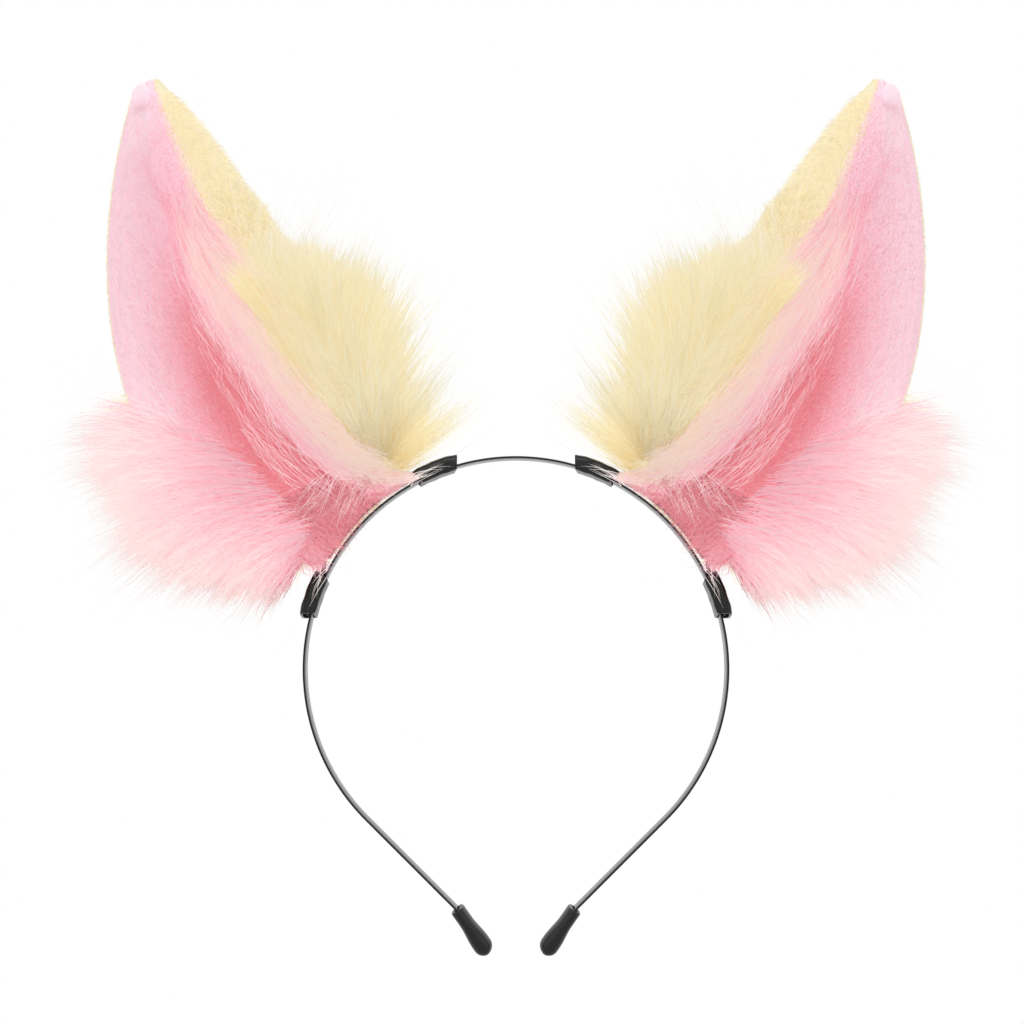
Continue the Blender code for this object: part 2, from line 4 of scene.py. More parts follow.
import bmesh
import bpy
import numpy as np
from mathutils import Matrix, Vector


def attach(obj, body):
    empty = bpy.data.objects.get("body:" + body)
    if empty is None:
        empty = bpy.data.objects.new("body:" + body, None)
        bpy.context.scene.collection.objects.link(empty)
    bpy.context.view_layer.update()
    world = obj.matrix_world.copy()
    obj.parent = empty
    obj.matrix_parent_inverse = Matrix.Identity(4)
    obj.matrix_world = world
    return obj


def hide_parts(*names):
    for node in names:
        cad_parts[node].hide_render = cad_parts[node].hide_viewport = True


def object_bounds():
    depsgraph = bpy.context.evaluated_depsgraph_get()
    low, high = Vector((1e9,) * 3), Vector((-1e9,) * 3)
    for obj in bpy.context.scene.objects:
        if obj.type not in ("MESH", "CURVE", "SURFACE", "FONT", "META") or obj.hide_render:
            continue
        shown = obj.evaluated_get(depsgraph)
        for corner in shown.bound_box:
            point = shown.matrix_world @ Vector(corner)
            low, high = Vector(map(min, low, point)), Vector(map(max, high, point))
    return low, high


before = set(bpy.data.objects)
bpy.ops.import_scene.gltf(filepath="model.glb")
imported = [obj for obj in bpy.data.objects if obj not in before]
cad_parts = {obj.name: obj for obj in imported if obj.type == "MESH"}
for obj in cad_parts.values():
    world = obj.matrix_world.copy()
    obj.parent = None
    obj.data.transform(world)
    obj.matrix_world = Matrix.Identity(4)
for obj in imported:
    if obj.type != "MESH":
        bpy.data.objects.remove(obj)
cad_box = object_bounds()


# ---------------------------------------------------------------- studio
# The headband hangs in front of a plain white backdrop, above a pale floor. A large soft lamp
# stands in front of it and dimmer ones at its sides and behind, and a white room fills the shadows.

CAMERA_DISTANCE = 0.430
CAMERA_HEIGHT = -0.0522
LENS = 51.15
SHIFT = (-0.0039, 0.1211)
FLOOR_DROP = 0.155
FLOOR_RADIUS = 0.42
ROOM_STRENGTH = 0.62


def new_material(name):
    """A new material, with its node tree and its Principled shader."""
    made = bpy.data.materials.new(name)
    made.use_nodes = True
    tree = made.node_tree
    return made, tree, tree.nodes["Principled BSDF"]


def feed(tree, value, socket):
    """Link a socket's value into another, or set a constant on it."""
    if isinstance(value, bpy.types.NodeSocket):
        tree.links.new(value, socket)
    else:
        socket.default_value = value


def set_inputs(tree, node, **inputs):
    """Set or link a node's inputs by their names."""
    for name, value in inputs.items():
        feed(tree, value, node.inputs[name.replace("_", " ")])


def add_node(tree, kind, settings=None, **inputs):
    """Add a node with its settings, and set or link its named inputs."""
    node = tree.nodes.new(kind)
    for name, value in (settings or {}).items():
        setattr(node, name, value)
    set_inputs(tree, node, **inputs)
    return node


def math_node(tree, operation, *values, clamp=False):
    """A Math node on sockets or numbers, by their order."""
    node = add_node(tree, "ShaderNodeMath", {"operation": operation, "use_clamp": clamp})
    for socket, value in zip(node.inputs, values):
        feed(tree, value, socket)
    return node.outputs[0]


def eased_node(tree, value, **limits):
    """A smooth step between two limits."""
    return add_node(tree, "ShaderNodeMapRange", {"interpolation_type": "SMOOTHSTEP"}, Value=value,
                    **limits).outputs["Result"]


def join_shaders(tree, share, first, second):
    """Two shaders mixed by a share of the second."""
    mix = add_node(tree, "ShaderNodeMixShader", Fac=share)
    tree.links.new(first.outputs[0], mix.inputs[1])
    tree.links.new(second.outputs[0], mix.inputs[2])
    return mix


def show_shader(tree, shader):
    """Make a shader the material's surface."""
    tree.links.new(shader.outputs[0], tree.nodes["Material Output"].inputs["Surface"])


def seen_white(tree):
    """A mask that is 1 where the white surroundings show: to the camera and in reflections."""
    rays = add_node(tree, "ShaderNodeLightPath").outputs
    mirrored = math_node(tree, "MAXIMUM", rays["Is Glossy Ray"], rays["Is Transmission Ray"])
    return math_node(tree, "MAXIMUM", rays["Is Camera Ray"], mirrored)


def light_room():
    """A white room that shows as pure white, and lights the object a little less brightly."""
    world = bpy.data.worlds.new("white_room")
    bpy.context.scene.world = world
    world.use_nodes = True
    tree = world.node_tree
    strength = math_node(tree, "MULTIPLY_ADD", seen_white(tree), 1.0 - ROOM_STRENGTH, ROOM_STRENGTH)
    set_inputs(tree, tree.nodes["Background"], Color=(1.0, 1.0, 1.0, 1.0), Strength=strength)


def add_lamp(name, place, size, power):
    """A square soft lamp, aimed at the crown."""
    data = bpy.data.lights.new(name, "AREA")
    data.size = size
    data.energy = power
    lamp = bpy.data.objects.new(name, data)
    bpy.context.scene.collection.objects.link(lamp)
    lamp.location = place
    lamp.rotation_euler = (-Vector(place)).to_track_quat("-Z", "Y").to_euler()


def lay_floor():
    """A pale round floor well below the headband. It fades into the white room at its edge."""
    mesh = bpy.data.meshes.new("floor")
    made = bmesh.new()
    bmesh.ops.create_circle(made, cap_ends=True, segments=96, radius=FLOOR_RADIUS)
    made.to_mesh(mesh)
    made.free()
    floor = bpy.data.objects.new("floor", mesh)
    bpy.context.scene.collection.objects.link(floor)
    floor.location.z = cad_box[0][2] - FLOOR_DROP
    pale, tree, shader = new_material("pale_floor")
    set_inputs(tree, shader, Base_Color=(0.90, 0.90, 0.90, 1.0), Roughness=0.9)
    place = add_node(tree, "ShaderNodeTexCoord").outputs["Object"]
    reach = add_node(tree, "ShaderNodeVectorMath", {"operation": "LENGTH"}, Vector=place)
    edge = eased_node(tree, reach.outputs["Value"], From_Min=0.5 * FLOOR_RADIUS,
                      From_Max=0.95 * FLOOR_RADIUS)
    white = add_node(tree, "ShaderNodeEmission", Strength=1.0)
    fade = math_node(tree, "MULTIPLY", edge, seen_white(tree))
    show_shader(tree, join_shaders(tree, fade, shader, white))
    mesh.materials.append(pale)


camera_data = bpy.data.cameras.new("camera")
camera_data.lens = LENS
camera_data.shift_x, camera_data.shift_y = SHIFT
camera_data.clip_start = 0.01
camera = bpy.data.objects.new("camera", camera_data)
bpy.context.scene.collection.objects.link(camera)
camera.location = (0.0, -CAMERA_DISTANCE, CAMERA_HEIGHT)
camera.rotation_euler = (math.pi / 2.0, 0.0, 0.0)
bpy.context.scene.camera = camera
bpy.context.scene.view_settings.view_transform = "Standard"

light_room()
lay_floor()
for name, place, size, power in (("front_lamp", (-0.10, -0.90, 0.75), 0.90, 5.0),
                                 ("left_lamp", (-0.95, -0.35, 0.30), 0.60, 1.8),
                                 ("right_lamp", (0.95, -0.35, 0.30), 0.60, 1.8),
                                 ("back_lamp", (0.10, 0.90, 0.60), 0.90, 4.4)):
    add_lamp(name, place, size, power)


# ---------------------------------------------------------------- steel band
# A strip of spring steel, rolled with rounded edges, bent to a ring open at the nape and coated
# with black gloss lacquer. It carries every other piece, and its ends sit in the rubber caps.

BAND_INNER_RADIUS = 0.0620
BAND_THICKNESS = 0.0006
BAND_WIDTH = 0.0070
BAND_EDGE_RADIUS = 0.00024
BAND_ARC_HALF_ANGLE = math.radians(135.0)
BAND_LEG_LENGTH = 0.0373
CAP_TURN_IN = math.radians(10.0)
CAP_STAND_OFF = 0.0005
CAP_SOCKET_DEPTH = 0.0085
CLEARANCE = 0.0003
RING_CENTRE = np.array([0.0, 0.0, -BAND_INNER_RADIUS])
REAR_WAY = np.array([0.0, 1.0, 0.0])
LACQUER_BLACK = (0.004, 0.004, 0.0045)


def on_ring(angle, radius):
    """Points round the ring's centre, at angles from the crown towards the right."""
    angle = angle + 0.0 * np.asarray(radius, float)
    return RING_CENTRE + np.stack([radius * np.sin(angle), 0.0 * angle, radius * np.cos(angle)], -1)


def leg_direction(extra_turn=0.0):
    """The way that the right leg runs where the arc ends, or a turn steeper."""
    angle = BAND_ARC_HALF_ANGLE - extra_turn
    return np.array([math.cos(angle), 0.0, -math.sin(angle)])


LEG_END = on_ring(BAND_ARC_HALF_ANGLE, BAND_INNER_RADIUS) + leg_direction() * BAND_LEG_LENGTH


def band_path():
    """The inner face's line from the crown down to the right end, and the way out of the ring."""
    angles = np.linspace(0.0, BAND_ARC_HALF_ANGLE, 100)
    points = list(on_ring(angles, BAND_INNER_RADIUS))
    ways = list(on_ring(angles, 1.0) - RING_CENTRE)
    tongue_end = LEG_END + leg_direction(CAP_TURN_IN) * (CAP_STAND_OFF + CAP_SOCKET_DEPTH - CLEARANCE)
    for start, end, turn, steps in ((points[-1], LEG_END, 0.0, 16), (LEG_END, tongue_end, CAP_TURN_IN, 5)):
        along = leg_direction(turn)
        for share in np.linspace(0.0, 1.0, steps)[1:]:
            points.append(start + (end - start) * share)
            ways.append(np.array([-along[2], 0.0, along[0]]))
    return np.array(points), np.array(ways)


def rounded_corners(corners, per_corner):
    """An outline of four round corners: each one's centre across and out, and its radius."""
    section = []
    for quarter, (across, out, radius) in enumerate(corners):
        for turn in np.linspace(0.0, math.pi / 2.0, per_corner) + quarter * math.pi / 2.0:
            section.append((across + radius * math.cos(turn), out + radius * math.sin(turn)))
    return np.array(section)


def rounded_section(width, thickness, radius, per_corner):
    """A rounded rectangle, as offsets across and outwards, its inner face at zero."""
    half, high = width / 2.0 - radius, thickness - radius
    return rounded_corners(((half, high, radius), (-half, high, radius), (-half, radius, radius),
                            (half, radius, radius)), per_corner)


def closed_mesh(name, points, faces):
    """A smooth mesh of points and faces, every face turned outwards."""
    mesh = bpy.data.meshes.new(name)
    mesh.from_pydata(points, [], faces)
    made = bmesh.new()
    made.from_mesh(mesh)
    bmesh.ops.recalc_face_normals(made, faces=made.faces)
    made.to_mesh(mesh)
    made.free()
    mesh.shade_smooth()
    return mesh


def loft(name, rings, closed=False):
    """A skin through closed rings of points, capped at both ends or joined end to end."""
    count, sides = rings.shape[:2]
    here = np.arange(count * sides).reshape(count, sides)
    above = np.roll(here, -1, axis=0)
    quads = np.stack([here, np.roll(here, -1, axis=1), np.roll(above, -1, axis=1), above], -1)
    faces = quads[:count if closed else count - 1].reshape(-1, 4).tolist()
    if not closed:
        faces += [here[0, ::-1].tolist(), here[-1].tolist()]
    mesh = closed_mesh(name, rings.reshape(-1, 3), faces)
    mesh.set_sharp_from_angle(angle=math.radians(48.0))
    return mesh


def add_piece(mesh, finish, body, slot, *nodes):
    """Show a mesh as a piece: its finish, the body that it rides on and the nodes it stands for."""
    piece = bpy.data.objects.new(mesh.name, mesh)
    bpy.context.scene.collection.objects.link(piece)
    mesh.materials.clear()
    mesh.materials.append(finish)
    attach(piece, body)
    if nodes:
        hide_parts(*nodes)
    return piece


def mix_colors(tree, share, first, second):
    """A colour between two others, each a socket or three values."""
    node = add_node(tree, "ShaderNodeMix", {"data_type": "RGBA"}, Factor=share)
    for color, socket in ((first, node.inputs[6]), (second, node.inputs[7])):
        feed(tree, color if isinstance(color, bpy.types.NodeSocket) else (*color, 1.0), socket)
    return node.outputs[2]


def relief_node(tree, height, strength, distance=0.0001):
    """A surface's normals, with bumps of a height."""
    return add_node(tree, "ShaderNodeBump", Strength=strength, Distance=distance,
                    Height=height).outputs["Normal"]


def new_group(name, inputs, outputs):
    """An empty shader node group: its tree, its inputs' sockets and its outputs'."""
    group = bpy.data.node_groups.new(name, "ShaderNodeTree")
    for way, sockets in (("INPUT", inputs), ("OUTPUT", outputs)):
        for label, kind, *value in sockets:
            socket = group.interface.new_socket(label, in_out=way, socket_type="NodeSocket" + kind)
            if value:
                socket.default_value = value[0]
    return group, group.nodes.new("NodeGroupInput").outputs, group.nodes.new("NodeGroupOutput").inputs


def fine_grain_group():
    """Shader node group: a speckle at two scales, as a height, and a mask of rubbed patches."""
    group, given, result = new_group("fine_grain", (
        ("Vector", "Vector"), ("Grain Scale", "Float", 2500.0), ("Patch Scale", "Float", 120.0),
        ("Patch Share", "Float", 0.4)), (("Height", "Float"), ("Patches", "Float")))
    fine = add_node(group, "ShaderNodeTexNoise", Vector=given["Vector"], Scale=given["Grain Scale"],
                    Detail=4.0, Roughness=0.6)
    broad = add_node(group, "ShaderNodeTexNoise", Vector=given["Vector"], Scale=given["Patch Scale"],
                     Detail=5.0, Roughness=0.55)
    low = math_node(group, "SUBTRACT", 0.95, given["Patch Share"])
    high = math_node(group, "ADD", low, 0.25)
    mask = eased_node(group, broad.outputs["Fac"], From_Min=low, From_Max=high)
    feed(group, fine.outputs["Fac"], result["Height"])
    feed(group, mask, result["Patches"])
    return group


fine_grain = fine_grain_group()


def grained_material(name, color, patch_color, roughness, patch_roughness, grain, patches, bump, specular):
    """A hard or rubbery finish: fine grain in its normal, and rubbed patches of another tone."""
    made, tree, shader = new_material(name)
    place = add_node(tree, "ShaderNodeTexCoord").outputs["Object"]
    effect = add_node(tree, "ShaderNodeGroup", {"node_tree": fine_grain}, Vector=place,
                      Grain_Scale=grain, Patch_Scale=patches, Patch_Share=0.42).outputs
    gloss = add_node(tree, "ShaderNodeMapRange", Value=effect["Patches"], To_Min=roughness,
                     To_Max=patch_roughness)
    set_inputs(tree, shader, Base_Color=mix_colors(tree, effect["Patches"], color, patch_color),
               Roughness=gloss.outputs["Result"], Normal=relief_node(tree, effect["Height"], bump),
               Specular_IOR_Level=specular)
    return made


path, outwards = band_path()
path = np.concatenate([path[:0:-1] * (-1, 1, 1), path])
outwards = np.concatenate([outwards[:0:-1] * (-1, 1, 1), outwards])
section = rounded_section(BAND_WIDTH, BAND_THICKNESS, BAND_EDGE_RADIUS, 4)
band_rings = (path[:, None] + outwards[:, None] * section[None, :, 1:]
              + REAR_WAY * section[None, :, :1])
lacquer = grained_material("black_lacquer", LACQUER_BLACK, (0.009, 0.009, 0.0095), 0.13, 0.22,
                           900.0, 160.0, 0.05, 0.22)
add_piece(loft("steel_strip", band_rings), lacquer, "band", "band_steel", "steel_band")


# ---------------------------------------------------------------- tip caps
# Soft rubber caps moulded in one piece, pushed onto the strip's ends so that these don't press on
# the head. Each has a flat oval neck, a rounded bulb at its end and a thin parting line.

CAP_LENGTH = 0.0160
CAP_NECK_THICKNESS = 0.0042
CAP_BULB_THICKNESS = 0.0056
CAP_WALL = 0.0009
CAP_LIP = 0.0005
CAP_SWELL = (0.35, 0.90)
CAP_PARTING_HEIGHT = 0.00008
CAP_SIDES = 72


def eased(value, low, high):
    """A smooth step from 0 at low to 1 at high."""
    share = np.clip((np.asarray(value, float) - low) / (high - low), 0.0, 1.0)
    return share * share * (3.0 - 2.0 * share)


def oval_ring(half_thickness, half_width, depth, power=0.85, parting=0.0):
    """One oval of a cap: out, across and down. The parting line stands on its two narrow sides."""
    angle = np.linspace(0.0, 2.0 * math.pi, CAP_SIDES, endpoint=False)
    cosine, sine = np.cos(angle), np.sin(angle)
    ridge = parting * np.exp(-(cosine / 0.07) ** 2) * np.sign(sine)
    return np.stack([np.sign(cosine) * np.abs(cosine) ** power * half_thickness,
                     np.sign(sine) * np.abs(sine) ** power * half_width + ridge,
                     np.full(CAP_SIDES, -depth)], -1)


def cap_rings():
    """A cap's rings: up out of the socket, over the lip, down the neck and round the bulb."""
    socket = (BAND_THICKNESS / 2.0 + CLEARANCE, BAND_WIDTH / 2.0 + CLEARANCE)
    neck, bulb = CAP_NECK_THICKNESS / 2.0, CAP_BULB_THICKNESS / 2.0
    width = socket[1] + CAP_WALL
    centre = CAP_LENGTH - bulb
    rings = [oval_ring(*socket, depth, 0.35) for depth in (0.0065, 0.003, 0.0004)]
    rings.append(oval_ring(socket[0] + 0.0002, socket[1] + 0.0001, 0.0, 0.5))
    for turn in np.radians(np.linspace(90.0, 0.0, 7)):
        inset = CAP_LIP * (1.0 - math.cos(turn))
        rings.append(oval_ring(neck - inset, width - inset, CAP_LIP * (1.0 - math.sin(turn))))
    for share in np.linspace(0.08, 1.0, 18):
        thickness = neck + (bulb - neck) * eased(share, *CAP_SWELL)
        rings.append(oval_ring(thickness, width, centre * share, parting=CAP_PARTING_HEIGHT))
    for turn in np.radians(np.linspace(8.0, 84.0, 12)):
        shrink = bulb * (1.0 - math.cos(turn))
        rings.append(oval_ring(bulb - shrink, width - shrink, centre + bulb * math.sin(turn),
                               parting=CAP_PARTING_HEIGHT * math.cos(turn)))
    return np.array(rings)


def place_cap(side):
    """Turn a cap's rings into the line of one end of the strip."""
    along = leg_direction(CAP_TURN_IN)
    out = np.array([-along[2], 0.0, along[0]])
    mouth = LEG_END + along * CAP_STAND_OFF + out * BAND_THICKNESS / 2.0
    rings = cap_rings()
    placed = mouth + rings[..., :1] * out + rings[..., 1:2] * REAR_WAY - rings[..., 2:] * along
    return placed * (side, 1.0, 1.0)


cap_rubber = grained_material("cap_rubber", (0.0065, 0.0062, 0.0078), (0.011, 0.0105, 0.0125),
                              0.40, 0.52, 1800.0, 260.0, 0.12, 0.26)
for label, side in (("left", -1), ("right", 1)):
    add_piece(loft(label + "_cap", place_cap(side)), cap_rubber, "band", "cap_rubber", label + "_tip_cap")


# ---------------------------------------------------------------- heat-shrink tubes
# Four short lengths of black heat-shrink tube. Each is shrunk round the strip and one leg of an
# ear's wire, so it bulges over the wire, puckers a little and has ends cut by hand, not square.

TUBE_WALL = 0.0006
TUBE_LENGTH = 0.0126
TUBE_ANGLES = {"upper": math.radians(22.0), "lower": math.radians(70.0)}
TUBE_CORNER_RADII = (0.0009, 0.0003)
TUBE_CROWN = 0.0003
TUBE_SLANT = 0.0011
TUBE_BULGE = 0.00035
TUBE_PUCKER = 0.00004
WIRE_RADIUS = 0.00075
WIRE_LEG_RADIUS = BAND_INNER_RADIUS + BAND_THICKNESS + CLEARANCE + WIRE_RADIUS


def tube_section(grow):
    """The tube's outline, across and out from the ring's centre, at a distance from its bore."""
    low = BAND_INNER_RADIUS - CLEARANCE - grow
    high = WIRE_LEG_RADIUS + WIRE_RADIUS + CLEARANCE + grow
    half = BAND_WIDTH / 2.0 + CLEARANCE + grow
    outer, inner = (radius + grow for radius in TUBE_CORNER_RADII)
    points = rounded_corners(((half - outer, high - outer, outer), (outer - half, high - outer, outer),
                              (inner - half, low + inner, inner), (half - inner, low + inner, inner)), 9)
    crown = np.clip((points[:, 1] - low) / (high - low), 0.0, 1.0)
    points[:, 1] += TUBE_CROWN * crown * np.clip(1.0 - (points[:, 0] / half) ** 2, 0.0, 1.0)
    return points


def tube_rings(angle, phase):
    """Rings along the tube's outside and back along its bore, the ends cut at a slant."""
    span = TUBE_LENGTH / WIRE_LEG_RADIUS
    rings = []
    for grow, shares in ((TUBE_WALL, np.linspace(0.0, 1.0, 40)), (0.0, np.linspace(1.0, 0.0, 12))):
        section = tube_section(grow)
        for share in shares:
            swell = 1.0 - (2.0 * share - 1.0) ** 4
            around = np.arctan2(section[:, 0], section[:, 1] - BAND_INNER_RADIUS - 0.001)
            pucker = np.sin(19.0 * share + 3.0 * around + phase) + np.sin(12.0 * share - 4.0 * around)
            out = section[:, 1] + (TUBE_BULGE * swell * (section[:, 1] > WIRE_LEG_RADIUS)
                                   + TUBE_PUCKER * pucker) * (grow > 0.0)
            across = section[:, 0] * (1.0 + 0.01 * pucker * (grow > 0.0))
            slant = (section[:, 1] - WIRE_LEG_RADIUS) / TUBE_LENGTH * 0.6
            turns = angle + (share - 0.5 + slant * (2.0 * share - 1.0) * 0.5
                             + TUBE_SLANT * across / BAND_WIDTH / TUBE_LENGTH) * span
            rings.append(on_ring(turns, out) + across[:, None] * REAR_WAY)
    return np.array(rings)


shrink_tube = grained_material("shrink_tube", (0.0045, 0.0046, 0.0048), (0.010, 0.0102, 0.0105),
                               0.27, 0.40, 1200.0, 420.0, 0.16, 0.30)
for label, side in (("left", -1), ("right", 1)):
    for phase, (place, angle) in enumerate(TUBE_ANGLES.items()):
        name = "{}_{}_shrink_tube".format(label, place)
        mesh = loft(name, tube_rings(angle, 1.7 * phase) * (side, 1.0, 1.0), closed=True)
        add_piece(mesh, shrink_tube, label + "_slider", "shrink_tube", "{}_{}_tube".format(label, place))


# ---------------------------------------------------------------- ear wires and seam threads
# Each ear is held open by one steel wire, bent up its inner edge, over the top and down the outer
# edge, with its two legs under the tubes. A doubled polyester thread sews the two panels together.

def twisted_strands_group():
    """Shader node group: fine slanting strands, as a height from 0 between them to 1 on them."""
    group, given, result = new_group("twisted_strands", (
        ("Vector", "Vector"), ("Turns", "Float", 900.0)), (("Height", "Float"),))
    wave = add_node(group, "ShaderNodeTexWave", {"bands_direction": "DIAGONAL"}, Vector=given["Vector"],
                    Scale=given["Turns"], Distortion=1.5, Detail=2.0, Detail_Scale=2.0)
    feed(group, wave.outputs["Fac"], result["Height"])
    return group


twisted_strands = twisted_strands_group()


def twisted_material(name, color, shadow, roughness, turns, bump, metallic=0.0):
    """Fine slanting strands, as on drawn wire or plied thread, with painted shade in the grooves between
    them.
    """
    made, tree, shader = new_material(name)
    place = add_node(tree, "ShaderNodeTexCoord").outputs["Object"]
    strands = add_node(tree, "ShaderNodeGroup", {"node_tree": twisted_strands}, Vector=place,
                       Turns=turns).outputs["Height"]
    set_inputs(tree, shader, Base_Color=mix_colors(tree, strands, shadow, color), Roughness=roughness,
               Normal=relief_node(tree, strands, bump), Metallic=metallic)
    return made


drawn_wire = twisted_material("drawn_wire", (0.11, 0.11, 0.115), (0.05, 0.05, 0.055), 0.34, 700.0, 0.1,
                              metallic=0.85)
sewing_thread = twisted_material("sewing_thread", (0.95, 0.74, 0.76), (0.84, 0.58, 0.61), 0.7,
                                 1100.0, 0.6)
for label in ("left", "right"):
    for node, finish in (("_ear_wire", drawn_wire), ("_seam_thread", sewing_thread)):
        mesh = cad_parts[label + node].data
        mesh.materials.clear()
        mesh.materials.append(finish)


# ---------------------------------------------------------------- ear skins
# An ear is two pieces of short-pile plush, cut to a leaf shape and sewn together round the edge: a
# pink lining, folded along its middle so that it cups forwards, and a yellow back that bulges.

EAR_FOOT_ANGLE = math.radians(46.5)
EAR_FOOT_SPREAD = math.radians(31.0)
EAR_FOOT_RADIUS = 0.0665
EAR_LENGTH = 0.1412
EAR_LEAN = math.radians(25.8)
EAR_TIP_WIDTH = 0.0050
LOW_EDGES = {"outer": (0.23, 0.0707, 0.0), "inner": (0.12, 0.0058, 0.010)}
HIGH_EDGES = {"outer": (0.74, 0.0373, 0.0), "inner": (0.75, -0.0010, 0.010)}
LOW_VALLEY = (0.14, 0.0300, -0.016)
HIGH_VALLEY = (0.74, 0.0170, -0.012)
LOW_BULGE = ((0.16, 0.0450, -0.026), (0.24, -0.0560, -0.024))
HIGH_BULGE = ((0.71, 0.0220, -0.020), (0.71, -0.0520, -0.016))
SKIN_GAP = 0.00105
SKIN_EDGE_GAP = 0.00035
CLOTH_THICKNESS = 0.0012
TURNED_EDGE = 0.035
TURNED_GAP = 0.00054
TURNED_THICKNESS = 0.0003
TURNED_THINNING = 4.0
CLOTH_HEIGHTS = (0.02, 0.99)
TIP_TURN = 0.02
LINING_CUT = (0.078, 0.152)
LINING_AREA = 0.0062
BACK_CUT = (0.125, 0.158)
BACK_AREA = 0.0101

ear_foot = on_ring(EAR_FOOT_ANGLE, EAR_FOOT_RADIUS)
ear_along = np.array([math.sin(EAR_LEAN), 0.0, math.cos(EAR_LEAN)])
ear_across = np.array([math.cos(EAR_LEAN), 0.0, -math.sin(EAR_LEAN)])


def ear_guide(height, across, front):
    """A guide point of the right ear: a share of its height, and how far across and forward."""
    return ear_foot + ear_along * height * EAR_LENGTH + ear_across * across - (0.0, front, 0.0)


def ear_guides(low_pair, high_pair):
    """The sixteen guide points of the lining's or the back's surface, from the foot to the tip."""
    start, end = EAR_FOOT_ANGLE + EAR_FOOT_SPREAD / 2.0, EAR_FOOT_ANGLE - EAR_FOOT_SPREAD / 2.0
    handle = 4.0 / 3.0 * math.tan(EAR_FOOT_SPREAD / 4.0) * EAR_FOOT_RADIUS
    first, last = on_ring(start, EAR_FOOT_RADIUS), on_ring(end, EAR_FOOT_RADIUS)
    first_way = np.array([-math.cos(start), 0.0, math.sin(start)])
    last_way = np.array([math.cos(end), 0.0, -math.sin(end)])
    rows = [[first, first + first_way * handle, last + last_way * handle, last]]
    for edges, pair in ((LOW_EDGES, low_pair), (HIGH_EDGES, high_pair)):
        rows.append([ear_guide(*point) for point in (edges["outer"], *pair, edges["inner"])])
    rows.append([ear_guide(1.0, EAR_TIP_WIDTH * share, 0.0) for share in (0.5, 1 / 6, -1 / 6, -0.5)])
    return np.array(rows)


def cubic_weights(t):
    """Weights of the four guide points of a cubic curve."""
    t = np.asarray(t, float)
    return np.stack([(1 - t) ** 3, 3 * t * (1 - t) ** 2, 3 * t * t * (1 - t), t ** 3], -1)


def on_skin(skin, height, turn):
    """Points of a skin, by height from the foot and turn from the outer to the inner edge. A skin is
    its guide points and the way that it faces: -1 to the front, 1 to the back."""
    return np.einsum("...i,...j,ijk->...k", cubic_weights(height), cubic_weights(turn), skin[0])


def unit(vectors):
    """Vectors of length one."""
    return vectors / np.maximum(np.linalg.norm(vectors, axis=-1, keepdims=True), 1e-12)


def skin_frame(skin, height, turn):
    """The ways up, across and out of a skin. Past its edges and its tip these turn over the seam."""
    rise = (np.clip((height - CLOTH_HEIGHTS[1]) / TIP_TURN, 0.0, 1.0) * math.pi / 2.0)[..., None]
    height = np.clip(height, 0.0, 0.985)
    inside = np.clip(turn, 0.0, 1.0)
    up = unit(on_skin(skin, height + 0.01, inside) - on_skin(skin, height - 0.01, inside))
    around = unit(on_skin(skin, height, inside + 0.01) - on_skin(skin, height, inside - 0.01))
    out = unit(np.cross(around, up)) * skin[1]
    up, out = up * np.cos(rise) - out * np.sin(rise), out * np.cos(rise) + up * np.sin(rise)
    over = ((turn - inside) / TURNED_EDGE * math.pi / 2.0)[..., None]
    return up, around * np.cos(over) - out * np.sin(over), out * np.cos(over) + around * np.sin(over)


def cloth_layer(skin, height, turn, outer):
    """Points on the inner face, 0, or the outer face, 1, of a skin's cloth."""
    out = skin_frame(skin, height, turn)[2]
    inside = np.clip(turn, 0.0, 1.0)
    edge = eased(np.minimum(inside, 1.0 - inside), 0.0, 0.07)
    over = np.maximum(np.abs(turn - inside) / TURNED_EDGE, (height - CLOTH_HEIGHTS[1]) / TIP_TURN)
    over = np.clip(TURNED_THINNING * over, 0.0, 1.0)
    gap = SKIN_EDGE_GAP + (SKIN_GAP - SKIN_EDGE_GAP) * edge + (TURNED_GAP - SKIN_EDGE_GAP) * over
    thickness = CLOTH_THICKNESS + (TURNED_THICKNESS - CLOTH_THICKNESS) * over
    place = on_skin(skin, np.minimum(height, CLOTH_HEIGHTS[1]), inside)
    return place + out * (gap + thickness * outer)[..., None]


def fold_shade(height, turn):
    """Depth of the lining's colour, 0 on the flat to 1 low in the fold: partly dye, partly painted shade.
    """
    across = eased(turn, 0.02, 0.46) * (1.0 - eased(turn, 0.80, 1.0))
    # A narrow darker streak along the valley higher up the ear: painted shade of the valley.
    streak = np.exp(-((turn - 0.40 - 3.6 * (0.82 - height)) / 0.11) ** 2)
    streak = streak * eased(height, 0.66, 0.74) * (1.0 - eased(height, 0.80, 0.90))
    return (across * (1.0 - 0.88 * eased(height, 0.40, 0.83)) * (0.45 + 0.55 * eased(height, 0.0, 0.10))
            + 0.22 * streak)


